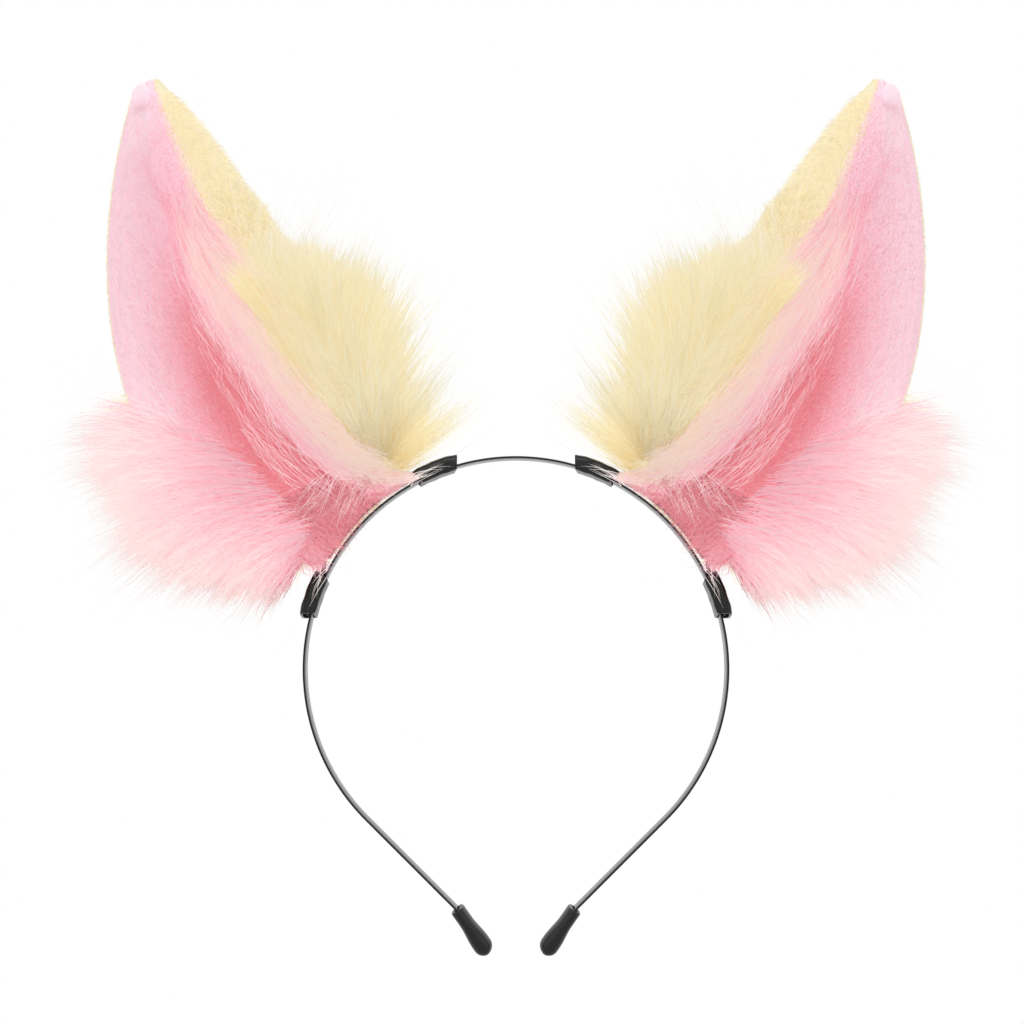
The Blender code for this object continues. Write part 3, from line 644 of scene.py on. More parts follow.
def cloth_shell(name, skin, hue_at):
    """A thin closed cloth on a skin, its two long edges and its tip turned over the seam."""
    turned = TURNED_EDGE * np.array([1.15, 0.9, 0.6, 0.3, 0.1])
    turns = np.concatenate([-turned, np.linspace(0.0, 1.0, 44), 1.0 + turned[::-1]])
    over_tip = CLOTH_HEIGHTS[1] + TIP_TURN * np.array([0.25, 0.5, 0.75, 1.0])
    heights = np.append(np.linspace(*CLOTH_HEIGHTS, 62), over_tip)
    heights, turns = np.meshgrid(heights, turns, indexing="ij")
    points = [cloth_layer(skin, heights, turns, outer).reshape(-1, 3) for outer in (0.0, 1.0)]
    rows, columns = heights.shape
    index = np.arange(rows * columns).reshape(rows, columns)
    quads = np.stack([index[:-1, :-1], index[:-1, 1:], index[1:, 1:], index[1:, :-1]], -1).reshape(-1, 4)
    count = rows * columns
    rim = np.concatenate([index[0, :-1], index[:-1, -1], index[-1, :0:-1], index[:0:-1, 0]])
    after = np.roll(rim, -1)
    walls = np.stack([rim, after, after + count, rim + count], -1)
    faces = np.concatenate([quads, quads[:, ::-1] + count, walls])
    mesh = closed_mesh(name, np.concatenate(points), faces.tolist())
    hues = np.tile(np.clip(hue_at(heights, turns), 0.0, 1.0).ravel(), 2)
    mesh.attributes.new("hue", "FLOAT", "POINT").data.foreach_set("value", hues.astype(np.float32))
    return mesh


def on_both_ears(mesh):
    """A right ear's mesh, and the same one mirrored for the left ear, with their labels."""
    yield "right", mesh
    copy = mesh.copy()
    copy.name = mesh.name.replace("right", "left")
    points = np.empty(len(copy.vertices) * 3, np.float32)
    copy.vertices.foreach_get("co", points)
    points[0::3] *= -1.0
    copy.vertices.foreach_set("co", points)
    copy.flip_normals()
    yield "left", copy


def paint(red, green, blue):
    """A dye by its everyday 0 to 255 values."""
    values = np.array([red, green, blue]) / 255.0
    return tuple(np.where(values <= 0.04045, values / 12.92, ((values + 0.055) / 1.055) ** 2.4))


def cropped_pile_group():
    """Shader node group: cropped pile's height, its pale specks and the mottling of its dye."""
    group, given, result = new_group("cropped_pile", (
        ("Vector", "Vector"), ("Speck Scale", "Float", 2600.0), ("Mottle Scale", "Float", 90.0)),
        (("Height", "Float"), ("Specks", "Float"), ("Mottle", "Float")))
    fine = add_node(group, "ShaderNodeTexNoise", Vector=given["Vector"], Scale=given["Speck Scale"],
                    Detail=3.0).outputs["Fac"]
    broad = add_node(group, "ShaderNodeTexNoise", Vector=given["Vector"], Scale=given["Mottle Scale"],
                     Detail=4.0)
    specks = add_node(group, "ShaderNodeMapRange", Value=fine, From_Min=0.35, From_Max=0.75, To_Max=0.4)
    feed(group, fine, result["Height"])
    feed(group, specks.outputs["Result"], result["Specks"])
    feed(group, math_node(group, "MULTIPLY_ADD", broad.outputs["Fac"], 0.3, -0.15), result["Mottle"])
    return group


cropped_pile = cropped_pile_group()


def plush_material(name, deep, pale, tip):
    """Short pile seen between its hairs: deep to pale by the cloth's hue (dye, and painted shade where
    given).
    """
    made, tree, shader = new_material(name)
    place = add_node(tree, "ShaderNodeTexCoord").outputs["Object"]
    pile = add_node(tree, "ShaderNodeGroup", {"node_tree": cropped_pile}, Vector=place,
                    Speck_Scale=2600.0, Mottle_Scale=90.0).outputs
    hue = add_node(tree, "ShaderNodeAttribute", {"attribute_name": "hue"}).outputs["Fac"]
    mottled = math_node(tree, "ADD", hue, pile["Mottle"], clamp=True)
    tone = mix_colors(tree, mottled, paint(*deep), paint(*pale))
    set_inputs(tree, shader, Base_Color=mix_colors(tree, pile["Specks"], tone, paint(*tip)),
               Normal=relief_node(tree, pile["Height"], 0.7, 0.0004), Roughness=0.9,
               Specular_IOR_Level=0.15)
    return made


LINING = (ear_guides((LOW_VALLEY, LOW_VALLEY), (HIGH_VALLEY, HIGH_VALLEY)), -1.0)
BACK = (ear_guides(LOW_BULGE, HIGH_BULGE), 1.0)
lining_plush = plush_material("lining_plush", (236, 140, 152), (250, 210, 221), (252, 224, 233))
back_plush = plush_material("back_plush", (243, 224, 172), (248, 238, 204), (251, 246, 222))
for kind, skin, finish, slot, cut, area in (
        ("lining", LINING, lining_plush, "pink_plush", LINING_CUT, LINING_AREA),
        ("back", BACK, back_plush, "yellow_plush", BACK_CUT, BACK_AREA)):
    # The lining's hue follows fold_shade: deeper in the fold, partly dye and partly painted shade.
    cloth = cloth_shell("right_" + kind + "_skin", skin,
                        lambda h, t: 1.0 - fold_shade(h, t) * (skin is LINING))
    for label, mesh in on_both_ears(cloth):
        piece = add_piece(mesh, finish, label + "_ear", slot, label + "_" + kind + "_panel")


# ---------------------------------------------------------------- short pile
# Both skins are knitted plush. Its pile is some three millimetres long, and longer low on the back.
# It is brushed down from the ear's tip to its foot, and painted deeper along the fold: dye and painted
# shade.

LINING_PILE_COUNT = 60000
LINING_PILE_LENGTH = 0.0028
BACK_PILE_COUNT = 62000
BACK_PILE_LENGTH = 0.0032
BACK_PILE_FOOT_LENGTH = 0.0055
BACK_EDGE_LENGTH = 0.0012
WIDEST_REACH = 0.1385
DEPTH_REACH = (-0.0235, 0.0340)
TIP_DOME_RADIUS = 0.0037
TIP_DOME_DROP = 0.0034
TIP_DOME_INSET = 0.0018
TIP_HAIR_LEAST = 0.0008
PILE_WIDTH = 0.00028
PILE_ROOT_DEPTH = 0.0003
LOCK_TIGHTNESS = 0.75
HAIR_TWIST = 0.25
FRONT_WAY = np.array([0.0, -1.0, 0.0])

tip_centre = ear_foot + ear_along * (EAR_LENGTH - TIP_DOME_DROP) + ear_across * TIP_DOME_INSET


def sown(rng, skin, count, height_range, turn_range, density=None, depth=0.0):
    """Hair roots at a depth in part of a skin's cloth, spread by area and a density: their places on
    the skin, its ways up, across and out there, and their points."""
    cells = 48
    steps = (np.arange(cells) + 0.5) / cells
    (low, high), (start, end) = height_range, turn_range
    height, turn = np.meshgrid(low + (high - low) * steps, start + (end - start) * steps, indexing="ij")
    up = on_skin(skin, height + 0.005, turn) - on_skin(skin, height - 0.005, turn)
    around = on_skin(skin, height, turn + 0.005) - on_skin(skin, height, turn - 0.005)
    weight = np.linalg.norm(np.cross(up, around), axis=-1)
    if density is not None:
        weight = weight * density(height, turn)
    row, column = np.divmod(rng.choice(cells * cells, count, p=(weight / weight.sum()).ravel()), cells)
    heights = low + (high - low) * (row + rng.random(count)) / cells
    turns = start + (end - start) * (column + rng.random(count)) / cells
    roots = cloth_layer(skin, heights, turns, 1.0)
    up, around, out = skin_frame(skin, heights, turns)
    return heights, turns, up, around, out, roots - out * depth


def hair_lines(roots, ways, lengths, steps):
    """Hairs as rows of points, each leaving along its first way and bending to its last."""
    share = (np.arange(steps) + 0.5) / steps
    weights = np.stack([(1 - share) ** 2, 2 * share * (1 - share), share ** 2])
    moves = unit(np.einsum("ks,knc->nsc", weights, np.stack(ways))) * (lengths / steps)[:, None, None]
    return np.concatenate([roots[:, None], roots[:, None] + np.cumsum(moves, axis=1)], axis=1)


def in_locks(rng, lines, every, pull):
    """Draw hairs together into locks towards their tips, each to its nearest leading hair."""
    leaders = lines[rng.permutation(len(lines))[:max(1, len(lines) // every)]]
    nearest = np.empty(len(lines), int)
    for start in range(0, len(lines), 2000):
        gaps = lines[start:start + 2000, None, 0] - leaders[None, :, 0]
        nearest[start:start + 2000] = np.einsum("abc,abc->ab", gaps, gaps).argmin(axis=1)
    chosen = leaders[nearest]
    target = chosen + (lines[:, :1] - chosen[:, :1]) * (1.0 - LOCK_TIGHTNESS)
    share = np.linspace(0.0, 1.0, lines.shape[1])[None, :, None]
    return lines + (target - lines) * pull * share ** 1.3


def frizzed(rng, lines, amount, waves):
    """Give hairs a slight wave that grows towards their tips."""
    share = np.linspace(0.0, 1.0, lines.shape[1])[None, :, None]
    phase = rng.random((len(lines), 1, 3)) * 2.0 * math.pi
    rate = waves * (0.6 + 0.8 * rng.random((len(lines), 1, 1)))
    return lines + (np.sin(2.0 * math.pi * rate * share + phase) - np.sin(phase)) * amount * share


def mixed_ways(*parts):
    """The unit sum of ways, each with its weight."""
    return unit(sum(np.asarray(way) * np.asarray(weight)[..., None] for way, weight in parts))


def fan_at(tilt):
    """Ways out to the side, tilted up or down."""
    return np.stack([np.cos(tilt), 0.0 * tilt, np.sin(tilt)], -1)


def length_shares(rng, count, low, dense, tail):
    """Shares of the full length: most from low to dense, and a thin tail on to the full length."""
    shares = low + (dense - low) * rng.random(count)
    return np.where(rng.random(count) < tail, dense + (1.0 - dense) * rng.random(count) ** 1.3, shares)


def kept_within(lines):
    """Shorten the hairs that reach out too far to the side, and flatten those too far forward or back."""
    root, reach = lines[:, :1, 0], lines[:, :, 0].max(axis=1, keepdims=True)
    shrink = np.clip((WIDEST_REACH - root) / np.maximum(reach - root, 1e-6), 0.2, 1.0)
    lines = lines[:, :1] + (lines - lines[:, :1]) * shrink[..., None]
    depth = lines[:, :1, 1]
    moved = lines[:, :, 1] - depth
    ahead = (DEPTH_REACH[0] - depth) / np.minimum(moved, -1e-6).min(axis=1, keepdims=True)
    behind = (DEPTH_REACH[1] - depth) / np.maximum(moved, 1e-6).max(axis=1, keepdims=True)
    lines[:, :, 1] = depth + moved * np.clip(np.where(moved < 0.0, ahead, behind), 0.0, 1.0)
    return lines


def groomed(rng, lines, every, pull, wave, waves):
    """Gather hairs into locks, give them a wave and keep them within reach."""
    return kept_within(frizzed(rng, in_locks(rng, lines, every, pull), wave, waves))


def round_tip(rng, lines, heights, turns, ways):
    """Brush the hairs at the ear's very tip out into a small dome."""
    up, around, out = ways
    away = unit(up + around * ((turns - 0.5) * 2.4)[:, None] + out * 0.35
                + rng.normal(0.0, 0.12, up.shape))
    roots = lines[:, 0]
    nearing = np.sum((roots - tip_centre) * away, axis=1)
    radius = TIP_DOME_RADIUS * (0.85 + 0.25 * rng.random(len(lines)))
    inside = radius ** 2 - np.sum((roots - tip_centre) ** 2, axis=1)
    length = np.sqrt(np.maximum(nearing ** 2 + inside, 0.0)) - nearing
    length = np.where(inside > 0.0, np.maximum(length, TIP_HAIR_LEAST), TIP_HAIR_LEAST)
    share = np.linspace(0.0, 1.0, lines.shape[1])[None, :, None]
    dome = roots[:, None] + (away * length[:, None])[:, None] * share
    return lines + (dome - lines) * eased(heights, 0.93, 0.96)[:, None, None]


def hair_mesh(rng, name, lines, normals, widths, hues):
    """Hairs as flat ribbons that taper to a point. The map holds hue across and length along."""
    count, points = lines.shape[:2]
    along = unit(np.gradient(lines, axis=1))
    side = unit(np.cross(along, normals[:, None]))
    turn = rng.normal(0.0, HAIR_TWIST, (count, 1, 1))
    side = side * np.cos(turn) + np.cross(along, side) * np.sin(turn)
    share = np.linspace(0.0, 1.0, points)
    half = widths[:, None, None] * (0.5 * (1.0 - share[:-1] ** 1.7))[None, :, None]
    left, right = lines[:, :-1] - side[:, :-1] * half, lines[:, :-1] + side[:, :-1] * half
    pairs = np.stack([left, right], axis=2).reshape(count, -1, 3)
    vertices = np.concatenate([pairs, lines[:, -1:]], axis=1)
    per_hair = vertices.shape[1]
    base = np.arange(count)[:, None] * per_hair
    first = np.arange(points - 2)[None, :, None] * 2
    quads = (base[..., None] + first + np.array([0, 1, 3, 2])).reshape(count, -1)
    ends = base + np.array([per_hair - 3, per_hair - 2, per_hair - 1])
    corners = np.concatenate([quads, ends], axis=1).ravel()
    sizes = np.tile([4] * (points - 2) + [3], count)
    mesh = bpy.data.meshes.new(name)
    mesh.vertices.add(count * per_hair)
    mesh.vertices.foreach_set("co", vertices.astype(np.float32).ravel())
    mesh.loops.add(len(corners))
    mesh.loops.foreach_set("vertex_index", corners.astype(np.int32))
    mesh.polygons.add(len(sizes))
    starts = np.concatenate([[0], np.cumsum(sizes)[:-1]])
    mesh.polygons.foreach_set("loop_start", starts.astype(np.int32))
    spots = np.empty((count, per_hair, 2))
    spots[..., 0] = (0.004 + 0.992 * np.clip(hues, 0.0, 1.0)[:, None]
                     + np.array([-0.0015, 0.0015] * (points - 1) + [0.0]))
    spots[..., 1] = 0.01 + 0.98 * np.append(np.repeat(share[:-1], 2), 1.0)
    mesh.uv_layers.new(name="OFBake").uv.foreach_set(
        "vector", spots.reshape(-1, 2)[corners].astype(np.float32).ravel())
    mesh.update(calc_edges=True)
    mesh.shade_smooth()
    mesh.normals_split_custom_set_from_vertices(np.repeat(unit(normals), per_hair, axis=0))
    return mesh


def add_fur(seed, name, lines, normals, width, hues, finish, slot, nodes=(), body="ear"):
    """Show hairs made for the right ear on both ears, the left ear's mirrored."""
    for label, side in (("right", 1.0), ("left", -1.0)):
        rng = np.random.default_rng(seed)
        widths = width * (0.7 + 0.6 * rng.random(len(lines)))
        mirror = np.array([side, 1.0, 1.0])
        mesh = hair_mesh(rng, label + "_" + name, lines * mirror, normals * mirror, widths, hues)
        add_piece(mesh, finish, label + "_" + body, slot, *[label + "_" + node for node in nodes])


def dyed_hair_group():
    """Shader node group: a hair's colour by its hue, low to high, and from its root to its tip."""
    colors = [(end + " " + hue, "Color") for end in ("Root", "Tip") for hue in ("Low", "Middle", "High")]
    group, given, result = new_group(
        "dyed_hair", (("Vector", "Vector"), *colors, ("Tip Start", "Float", 0.2)), (("Color", "Color"),))
    place = add_node(group, "ShaderNodeSeparateXYZ", Vector=given["Vector"]).outputs
    ends = []
    for end in ("Root", "Tip"):
        color = given[end + " Low"]
        for low, hue in ((0.0, "Middle"), (0.5, "High")):
            share = add_node(group, "ShaderNodeMapRange", Value=place["X"], From_Min=low,
                             From_Max=low + 0.5).outputs["Result"]
            color = mix_colors(group, share, color, given[end + " " + hue])
        ends.append(color)
    along = eased_node(group, place["Y"], From_Min=given["Tip Start"], From_Max=1.0)
    streaks = add_node(group, "ShaderNodeVectorMath", {"operation": "MULTIPLY"}, Vector=given["Vector"])
    streaks.inputs[1].default_value = (240.0, 1.5, 0.0)
    noise = add_node(group, "ShaderNodeTexNoise", {"noise_dimensions": "2D"},
                     Vector=streaks.outputs["Vector"], Scale=1.0, Detail=1.0)
    light = add_node(group, "ShaderNodeMapRange", Value=noise.outputs["Fac"], From_Min=0.25,
                     From_Max=0.75, To_Min=0.94, To_Max=1.0)
    shade = add_node(group, "ShaderNodeVectorMath", {"operation": "SCALE"}, Scale=light.outputs["Result"])
    feed(group, mix_colors(group, along, *ends), shade.inputs[0])
    feed(group, shade.outputs["Vector"], result["Color"])
    return group


dyed_hair = dyed_hair_group()


def fur_material(name, roots, tips, tip_start=0.15, glow=(232, 215, 215)):
    """Dyed acrylic hair: three hues at the root and three at the tip. The hairs are clear enough
    that light comes through them, tinted, to the next ones and to their own far side."""
    made, tree, shader = new_material(name)
    place = add_node(tree, "ShaderNodeUVMap", {"uv_map": "OFBake"}).outputs["UV"]
    colors = {end + "_" + hue: (*paint(*color), 1.0) for end, three in (("Root", roots), ("Tip", tips))
              for hue, color in zip(("Low", "Middle", "High"), three)}
    hair = add_node(tree, "ShaderNodeGroup", {"node_tree": dyed_hair}, Vector=place,
                    Tip_Start=tip_start, **colors).outputs["Color"]
    set_inputs(tree, shader, Base_Color=hair, Roughness=0.62, Specular_IOR_Level=0.22, Sheen_Weight=0.15,
               Sheen_Roughness=0.5)
    far_side = add_node(tree, "ShaderNodeBsdfTranslucent", Color=hair)
    clear = add_node(tree, "ShaderNodeBsdfTransparent", Color=(*paint(*glow), 1.0))
    backfacing = add_node(tree, "ShaderNodeNewGeometry").outputs["Backfacing"]
    seen = join_shaders(tree, backfacing, shader, far_side)
    in_shadow = add_node(tree, "ShaderNodeLightPath").outputs["Is Shadow Ray"]
    show_shader(tree, join_shaders(tree, in_shadow, seen, clear))
    return made


pink_pile = fur_material("pink_pile", ((234, 149, 158), (246, 191, 203), (248, 223, 231)),
                         ((240, 163, 171), (248, 209, 219), (250, 235, 242)))
yellow_pile = fur_material("yellow_pile", ((234, 218, 174), (239, 227, 196), (243, 235, 212)),
                           ((239, 225, 190), (242, 233, 210), (246, 241, 226)), glow=(236, 235, 222))

rng = np.random.default_rng(11)
heights, turns, up, around, out, roots = sown(
    rng, LINING, LINING_PILE_COUNT, (0.02, 1.006), (-TURNED_EDGE, 1.0 + TURNED_EDGE),
    lambda h, t: 0.8 + 0.8 * (np.abs(t - 0.5) > 0.44) + 3.0 * eased(h, 0.93, 0.98), PILE_ROOT_DEPTH)
inner_edge = eased(turns, 0.92, 1.0)
flow = unit(around * (0.35 + 0.9 * inner_edge)[:, None] - up * 0.8 + rng.normal(0.0, 0.26, up.shape))
at_edge = 1.0 - eased(np.minimum(turns, 1.0 - turns), -0.01, 0.05)
lengths = (LINING_PILE_LENGTH * (0.75 + 0.5 * rng.random(len(up)))
           * (1.0 - 0.5 * at_edge * (turns < 0.5)))
lift = (0.9 - 0.7 * at_edge)[:, None]
lines = hair_lines(roots, (out * lift + flow * 0.5, out * lift / 3.0 + flow, flow + out * 0.02), lengths, 2)
lines = round_tip(rng, lines, heights, turns, (up, around, out))
# Hues: deeper along the fold, partly dye and partly painted shade; paler at the tip, painted light against
# its dense hair's shade.
hues = (0.92 - 0.92 * fold_shade(heights, turns) + 0.3 * eased(heights, 0.85, 0.97)
        + rng.normal(0.0, 0.07, len(heights)))
normals = mixed_ways((out, 1.0), (FRONT_WAY, 0.6 * eased(heights, 0.75, 0.95)))
add_fur(12, "lining_pile", lines, normals, PILE_WIDTH, hues, pink_pile, "pink_plush")

rng = np.random.default_rng(21)
heights, turns, up, around, out, roots = sown(
    rng, BACK, BACK_PILE_COUNT, (0.02, 1.006), (-TURNED_EDGE, 1.0 + TURNED_EDGE),
    lambda h, t: 0.55 + 0.75 * eased(h, 0.3, 0.7) + 3.0 * eased(h, 0.93, 0.98)
    + 0.6 * (np.abs(t - 0.5) > 0.47), PILE_ROOT_DEPTH)
flow = unit(around * 0.1 - up + rng.normal(0.0, 0.25, up.shape))
lengths = BACK_PILE_LENGTH + (BACK_PILE_FOOT_LENGTH - BACK_PILE_LENGTH) * eased(0.75 - heights, 0.0, 0.4)
at_edge = BACK_EDGE_LENGTH + (lengths - BACK_EDGE_LENGTH) * eased(turns, 0.0, 0.12)
lengths = np.where(turns < 0.12, at_edge, lengths) * (0.75 + 0.5 * rng.random(len(up)))
lines = hair_lines(roots, (out * 0.9 + flow * 0.5, out * 0.35 + flow, flow + out * 0.05), lengths, 2)
lines = round_tip(rng, lines, heights, turns, (up, around, out))
hues = 0.72 - 0.30 * eased(turns, 0.75, 0.95) + rng.normal(0.0, 0.13, len(heights))
add_fur(22, "back_pile", lines, mixed_ways((out, 1.0), (FRONT_WAY, 0.3)), PILE_WIDTH, hues, yellow_pile,
        "yellow_plush")


# ---------------------------------------------------------------- yellow tuft
# A patch of long-haired yellow fur, sewn over the back beside the ear's inner edge. Its hair grows
# longer towards the foot, and fans out from there, along the edge and in over the crown.

TUFT_HAIR_COUNT = 18000
TUFT_HAIR_LENGTH = 0.0480
LONG_HAIR_WIDTH = 0.00024
ROOT_DEPTH = 0.0005
TUFT_FOCUS = np.array([0.0485, 0.0, -0.0120])

yellow_fur = fur_material("yellow_fur", ((233, 210, 157), (237, 221, 179), (240, 231, 201)),
                          ((236, 225, 187), (241, 235, 209), (245, 242, 227)), 0.10,
                          glow=(252, 250, 244))


def fan_from(focus, points):
    """Ways from a focus to points, seen from the front."""
    return unit((points - focus) * (1.0, 0.0, 1.0))


for part, seed in (("a", 31), ("b", 37)):
    rng = np.random.default_rng(seed)
    heights, turns, up, around, out, roots = sown(
        rng, BACK, TUFT_HAIR_COUNT, (0.06, 0.74), (0.40, 1.0),
        lambda h, t: (1.0 - eased(h, 0.56, 0.74)) * (0.3 + eased(t, 0.42, 0.75)), ROOT_DEPTH)
    by_edge = eased(turns, 0.78, 1.0)
    fan = mixed_ways((fan_from(TUFT_FOCUS, roots), 1.0 - 0.75 * by_edge), (up, 0.75 * by_edge))
    turned = (0.45 + 0.60 * eased(heights, 0.3, 0.5)) * (1.0 - 1.2 * by_edge)
    stray = rng.normal(0.0, 0.12, fan.shape)
    at_foot = (1.0 - eased(heights, 0.12, 0.28)) * eased(turns, 0.52, 0.62)
    in_front = rng.random(len(roots)) < 0.64
    ahead = FRONT_WAY * (at_foot * np.where(in_front, 0.8, -0.3))[:, None]
    ways = (mixed_ways((out, 0.9), (fan, 0.5), (-ear_across, turned)) + stray + ahead,
            mixed_ways((out, 0.35), (fan, 0.8), (-ear_across, turned)) + stray + ahead * 0.5,
            mixed_ways((out, 0.1), (fan, 0.9), (-ear_across, turned)) + stray - (0.0, 0.0, 0.1))
    grown = 0.12 + 0.88 * (1.0 - eased(heights, 0.36, 0.62))
    lengths = TUFT_HAIR_LENGTH * grown * length_shares(rng, len(roots), 0.33, 0.60, 0.18)
    lines = groomed(rng, hair_lines(roots, ways, lengths, 6), 30, 0.55, 0.0008, 1.1)
    rearward = eased(out[:, 1], 0.15, 0.55) * (1.0 - at_foot * in_front)
    normals = mixed_ways((out, 0.2), ((0.0, -1.0, 0.38), 1.0 - rearward), ((0.0, 1.0, 0.38), rearward),
                         (fan, 0.25))
    hues = (0.48 - 0.34 * eased(turns, 0.75, 1.0) * eased(heights, 0.10, 0.30)
            - 0.02 * (1.0 - eased(heights, 0.10, 0.26)) + rng.normal(0.0, 0.24, len(roots)))
    add_fur(seed + 1, "yellow_tuft_" + part, lines, normals, LONG_HAIR_WIDTH, hues, yellow_fur,
            "yellow_long_fur", ("back_tuft",))


# ---------------------------------------------------------------- rim hair
# A narrow strip of long pale hair, sewn inside the lining's inner edge. It lies along the edge,
# spills over it a little and runs down to the foot, where it turns towards the upper tube.

RIM_HAIR_COUNT = 14000
RIM_HAIR_LENGTH = 0.040
RIM_FOOT_REACH = 0.006

rim_fur = fur_material("rim_fur", ((244, 185, 195), (246, 213, 217), (246, 224, 209)),
                       ((246, 205, 213), (248, 229, 227), (248, 235, 220)), 0.0, glow=(228, 208, 208))


def rim_start(height):
    """Where the rim hair begins across the lining: further in high up, and again at the foot."""
    return 0.81 - 0.16 * eased(height, 0.40, 0.64) - 0.22 * (1.0 - eased(height, 0.01, 0.15))


def rim_density(height, turn):
    """How thickly the rim hair is sewn: all beyond its start, a little before it, less up high."""
    begun = eased(turn - rim_start(height), 0.0, 0.09)
    before = 0.07 * eased(height, 0.48, 0.62) * eased(turn, 0.50, 0.66)
    return (1.0 - 0.97 * eased(height, 0.48, 0.80)) * (0.006 + begun + before)


upper_tube_way = unit(on_ring(TUBE_ANGLES["upper"], 1.0) - on_ring(TUBE_ANGLES["upper"] + 0.2, 1.0))
for part, seed in (("a", 41), ("b", 43)):
    rng = np.random.default_rng(seed)
    heights, turns = sown(rng, LINING, RIM_HAIR_COUNT, (0.02, 0.80), (0.45, 1.0), rim_density)[:2]
    count = len(heights)
    lengths = RIM_HAIR_LENGTH * length_shares(rng, count, 0.25, 0.75, 0.25)
    lengths = np.minimum(lengths, (heights + 0.05) * EAR_LENGTH)
    share = np.linspace(0.0, 1.0, 6)[None, :]
    path_heights = heights[:, None] - lengths[:, None] / EAR_LENGTH * share
    spilling = (0.16 * (rng.random(count) < 0.55) * eased(turns, 0.84, 0.96)
                * eased(heights, 0.14, 0.30))[:, None]
    astray = rng.random((count, 1)) < 0.05
    lean = (0.02 + rng.normal(0.0, 0.032, (count, 1)) + spilling - 0.08 * astray) * share ** 1.3
    starts, path_starts = rim_start(heights)[:, None], rim_start(path_heights)
    path_turns = path_starts + (turns[:, None] - starts) * (1.0 - path_starts) / (1.0 - starts) + lean
    path_turns = path_turns - (0.05 + 0.6 * eased(0.38 - heights, 0.0, 0.2))[:, None] * np.maximum(
        path_turns - 0.985, 0.0)
    out = skin_frame(LINING, path_heights, np.clip(path_turns, 0.0, 1.0))[2]
    rise = 0.0015 + 0.0034 * rng.random((count, 1)) ** 1.5 * np.sin(math.pi * share * 0.8)
    lines = on_skin(LINING, path_heights, path_turns) + out * rise[..., None]
    within = turns - rim_start(heights)
    gathered = 0.05 + 0.25 * eased(within, 0.02, 0.10)[:, None, None]
    reach = RIM_FOOT_REACH * rng.random((count, 1)) * (1.0 - eased(heights, 0.06, 0.30))[:, None]
    lines = lines + (reach * share ** 1.5)[..., None] * upper_tube_way
    lines = groomed(rng, lines, 14, gathered, 0.0007, 1.0)
    hues = (0.24 - 0.5 * astray[:, 0] - 0.25 * (1.0 - eased(within, 0.0, 0.10))
            + 0.80 * eased(turns, 0.84, 1.0) * (1.0 - 0.7 * eased(heights, 0.50, 0.70))
            + 0.34 * eased(heights, 0.40, 0.56) * (1.0 - eased(turns, 0.84, 1.0))
            * eased(within, 0.06, 0.18) + rng.normal(0.0, 0.32, count))
    add_fur(seed + 1, "rim_hair_" + part, lines, mixed_ways((out.mean(axis=1), 1.0), (FRONT_WAY, 0.3)),
            LONG_HAIR_WIDTH, hues, rim_fur, "pale_pink_long_fur", ("rim_tuft",))


# ---------------------------------------------------------------- outer fluff
# A patch of the longest hair, sewn over the lining's lower outer corner. It bursts out past the
# ear's edge, pink at the root and paler to nearly white at the tip.

FLUFF_HAIR_COUNT = 18000
FLUFF_HAIR_LENGTH = 0.053

pink_fluff = fur_material("pink_fluff", ((249, 187, 197), (248, 199, 209), (247, 208, 216)),
                          ((245, 210, 217), (242, 222, 220), (241, 236, 231)), 0.32,
                          glow=(236, 217, 217))


def fluff_tilt(roots):
    """How far up or down the fluff points: a little up at its top, and well down at the foot."""
    share = np.clip((roots[:, 2] + 0.030) / 0.040, 0.0, 1.0)
    return np.radians(-52.0 + 58.0 * share ** 0.7)


def bursting(fan, out, lifts, stray):
    """Ways of hair that leaves a skin outwards, fans to the side and droops at its end."""
    return (mixed_ways((out, lifts[0]), (fan, 0.6)) + stray,
            mixed_ways((out, lifts[1]), (fan, 1.0)) + stray,
            mixed_ways((fan, 1.0), ((0.0, 0.0, -1.0), 0.35)) + stray)


for part, seed in (("a", 51), ("b", 57)):
    rng = np.random.default_rng(seed)
    heights, turns, up, around, out, roots = sown(
        rng, LINING, FLUFF_HAIR_COUNT, (0.02, 0.46), (-TURNED_EDGE, 0.42),
        lambda h, t: (1.0 - eased(h + 0.35 * t, 0.27, 0.44))
        * (1.0 - 0.97 * eased(t - 0.55 * h - 0.10 * (1.0 - eased(h, 0.03, 0.12)), 0.05, 0.24)), ROOT_DEPTH)
    fan = fan_at(fluff_tilt(roots) + rng.normal(0.0, 0.11, len(roots)))
    ways = bursting(fan, out, (0.85, 0.25), rng.normal(0.0, 0.10, fan.shape))
    grown = 0.64 + 0.22 * eased(turns, 0.0, 0.4) + 0.26 * np.exp(-((heights - 0.17) / 0.09) ** 2)
    shares = length_shares(rng, len(roots), 0.24, 0.59, 0.18)
    lines = hair_lines(roots, ways, FLUFF_HAIR_LENGTH * grown * shares, 6)
    lines = groomed(rng, lines, 30, 0.5, 0.0008, 1.0)
    normals = mixed_ways((out, 0.3), (fan, 0.15), ((0.0, -1.0, 0.2), 1.0))
    hues = (0.32 + 0.70 * eased(shares, 0.36, 0.65) * (1.0 - 0.5 * eased(turns, 0.12, 0.30))
            + rng.normal(0.0, 0.14, len(roots)))
    add_fur(seed + 1, "outer_fluff_" + part, lines, normals, LONG_HAIR_WIDTH, hues, pink_fluff,
            "pink_long_fur", ("outer_tuft",))


# ---------------------------------------------------------------- back fringe
# The back panel's own pile is left long low down beside the outer edge. It is cream to yellow, and
# shows past the pink fluff from the front.

FRINGE_HAIR_COUNT = 16000
FRINGE_HAIR_LENGTH = 0.028

cream_fur = fur_material("cream_fur", ((236, 222, 182), (240, 230, 199), (243, 236, 214)),
                         ((241, 232, 204), (244, 238, 218), (247, 243, 231)), 0.1, glow=(246, 243, 232))

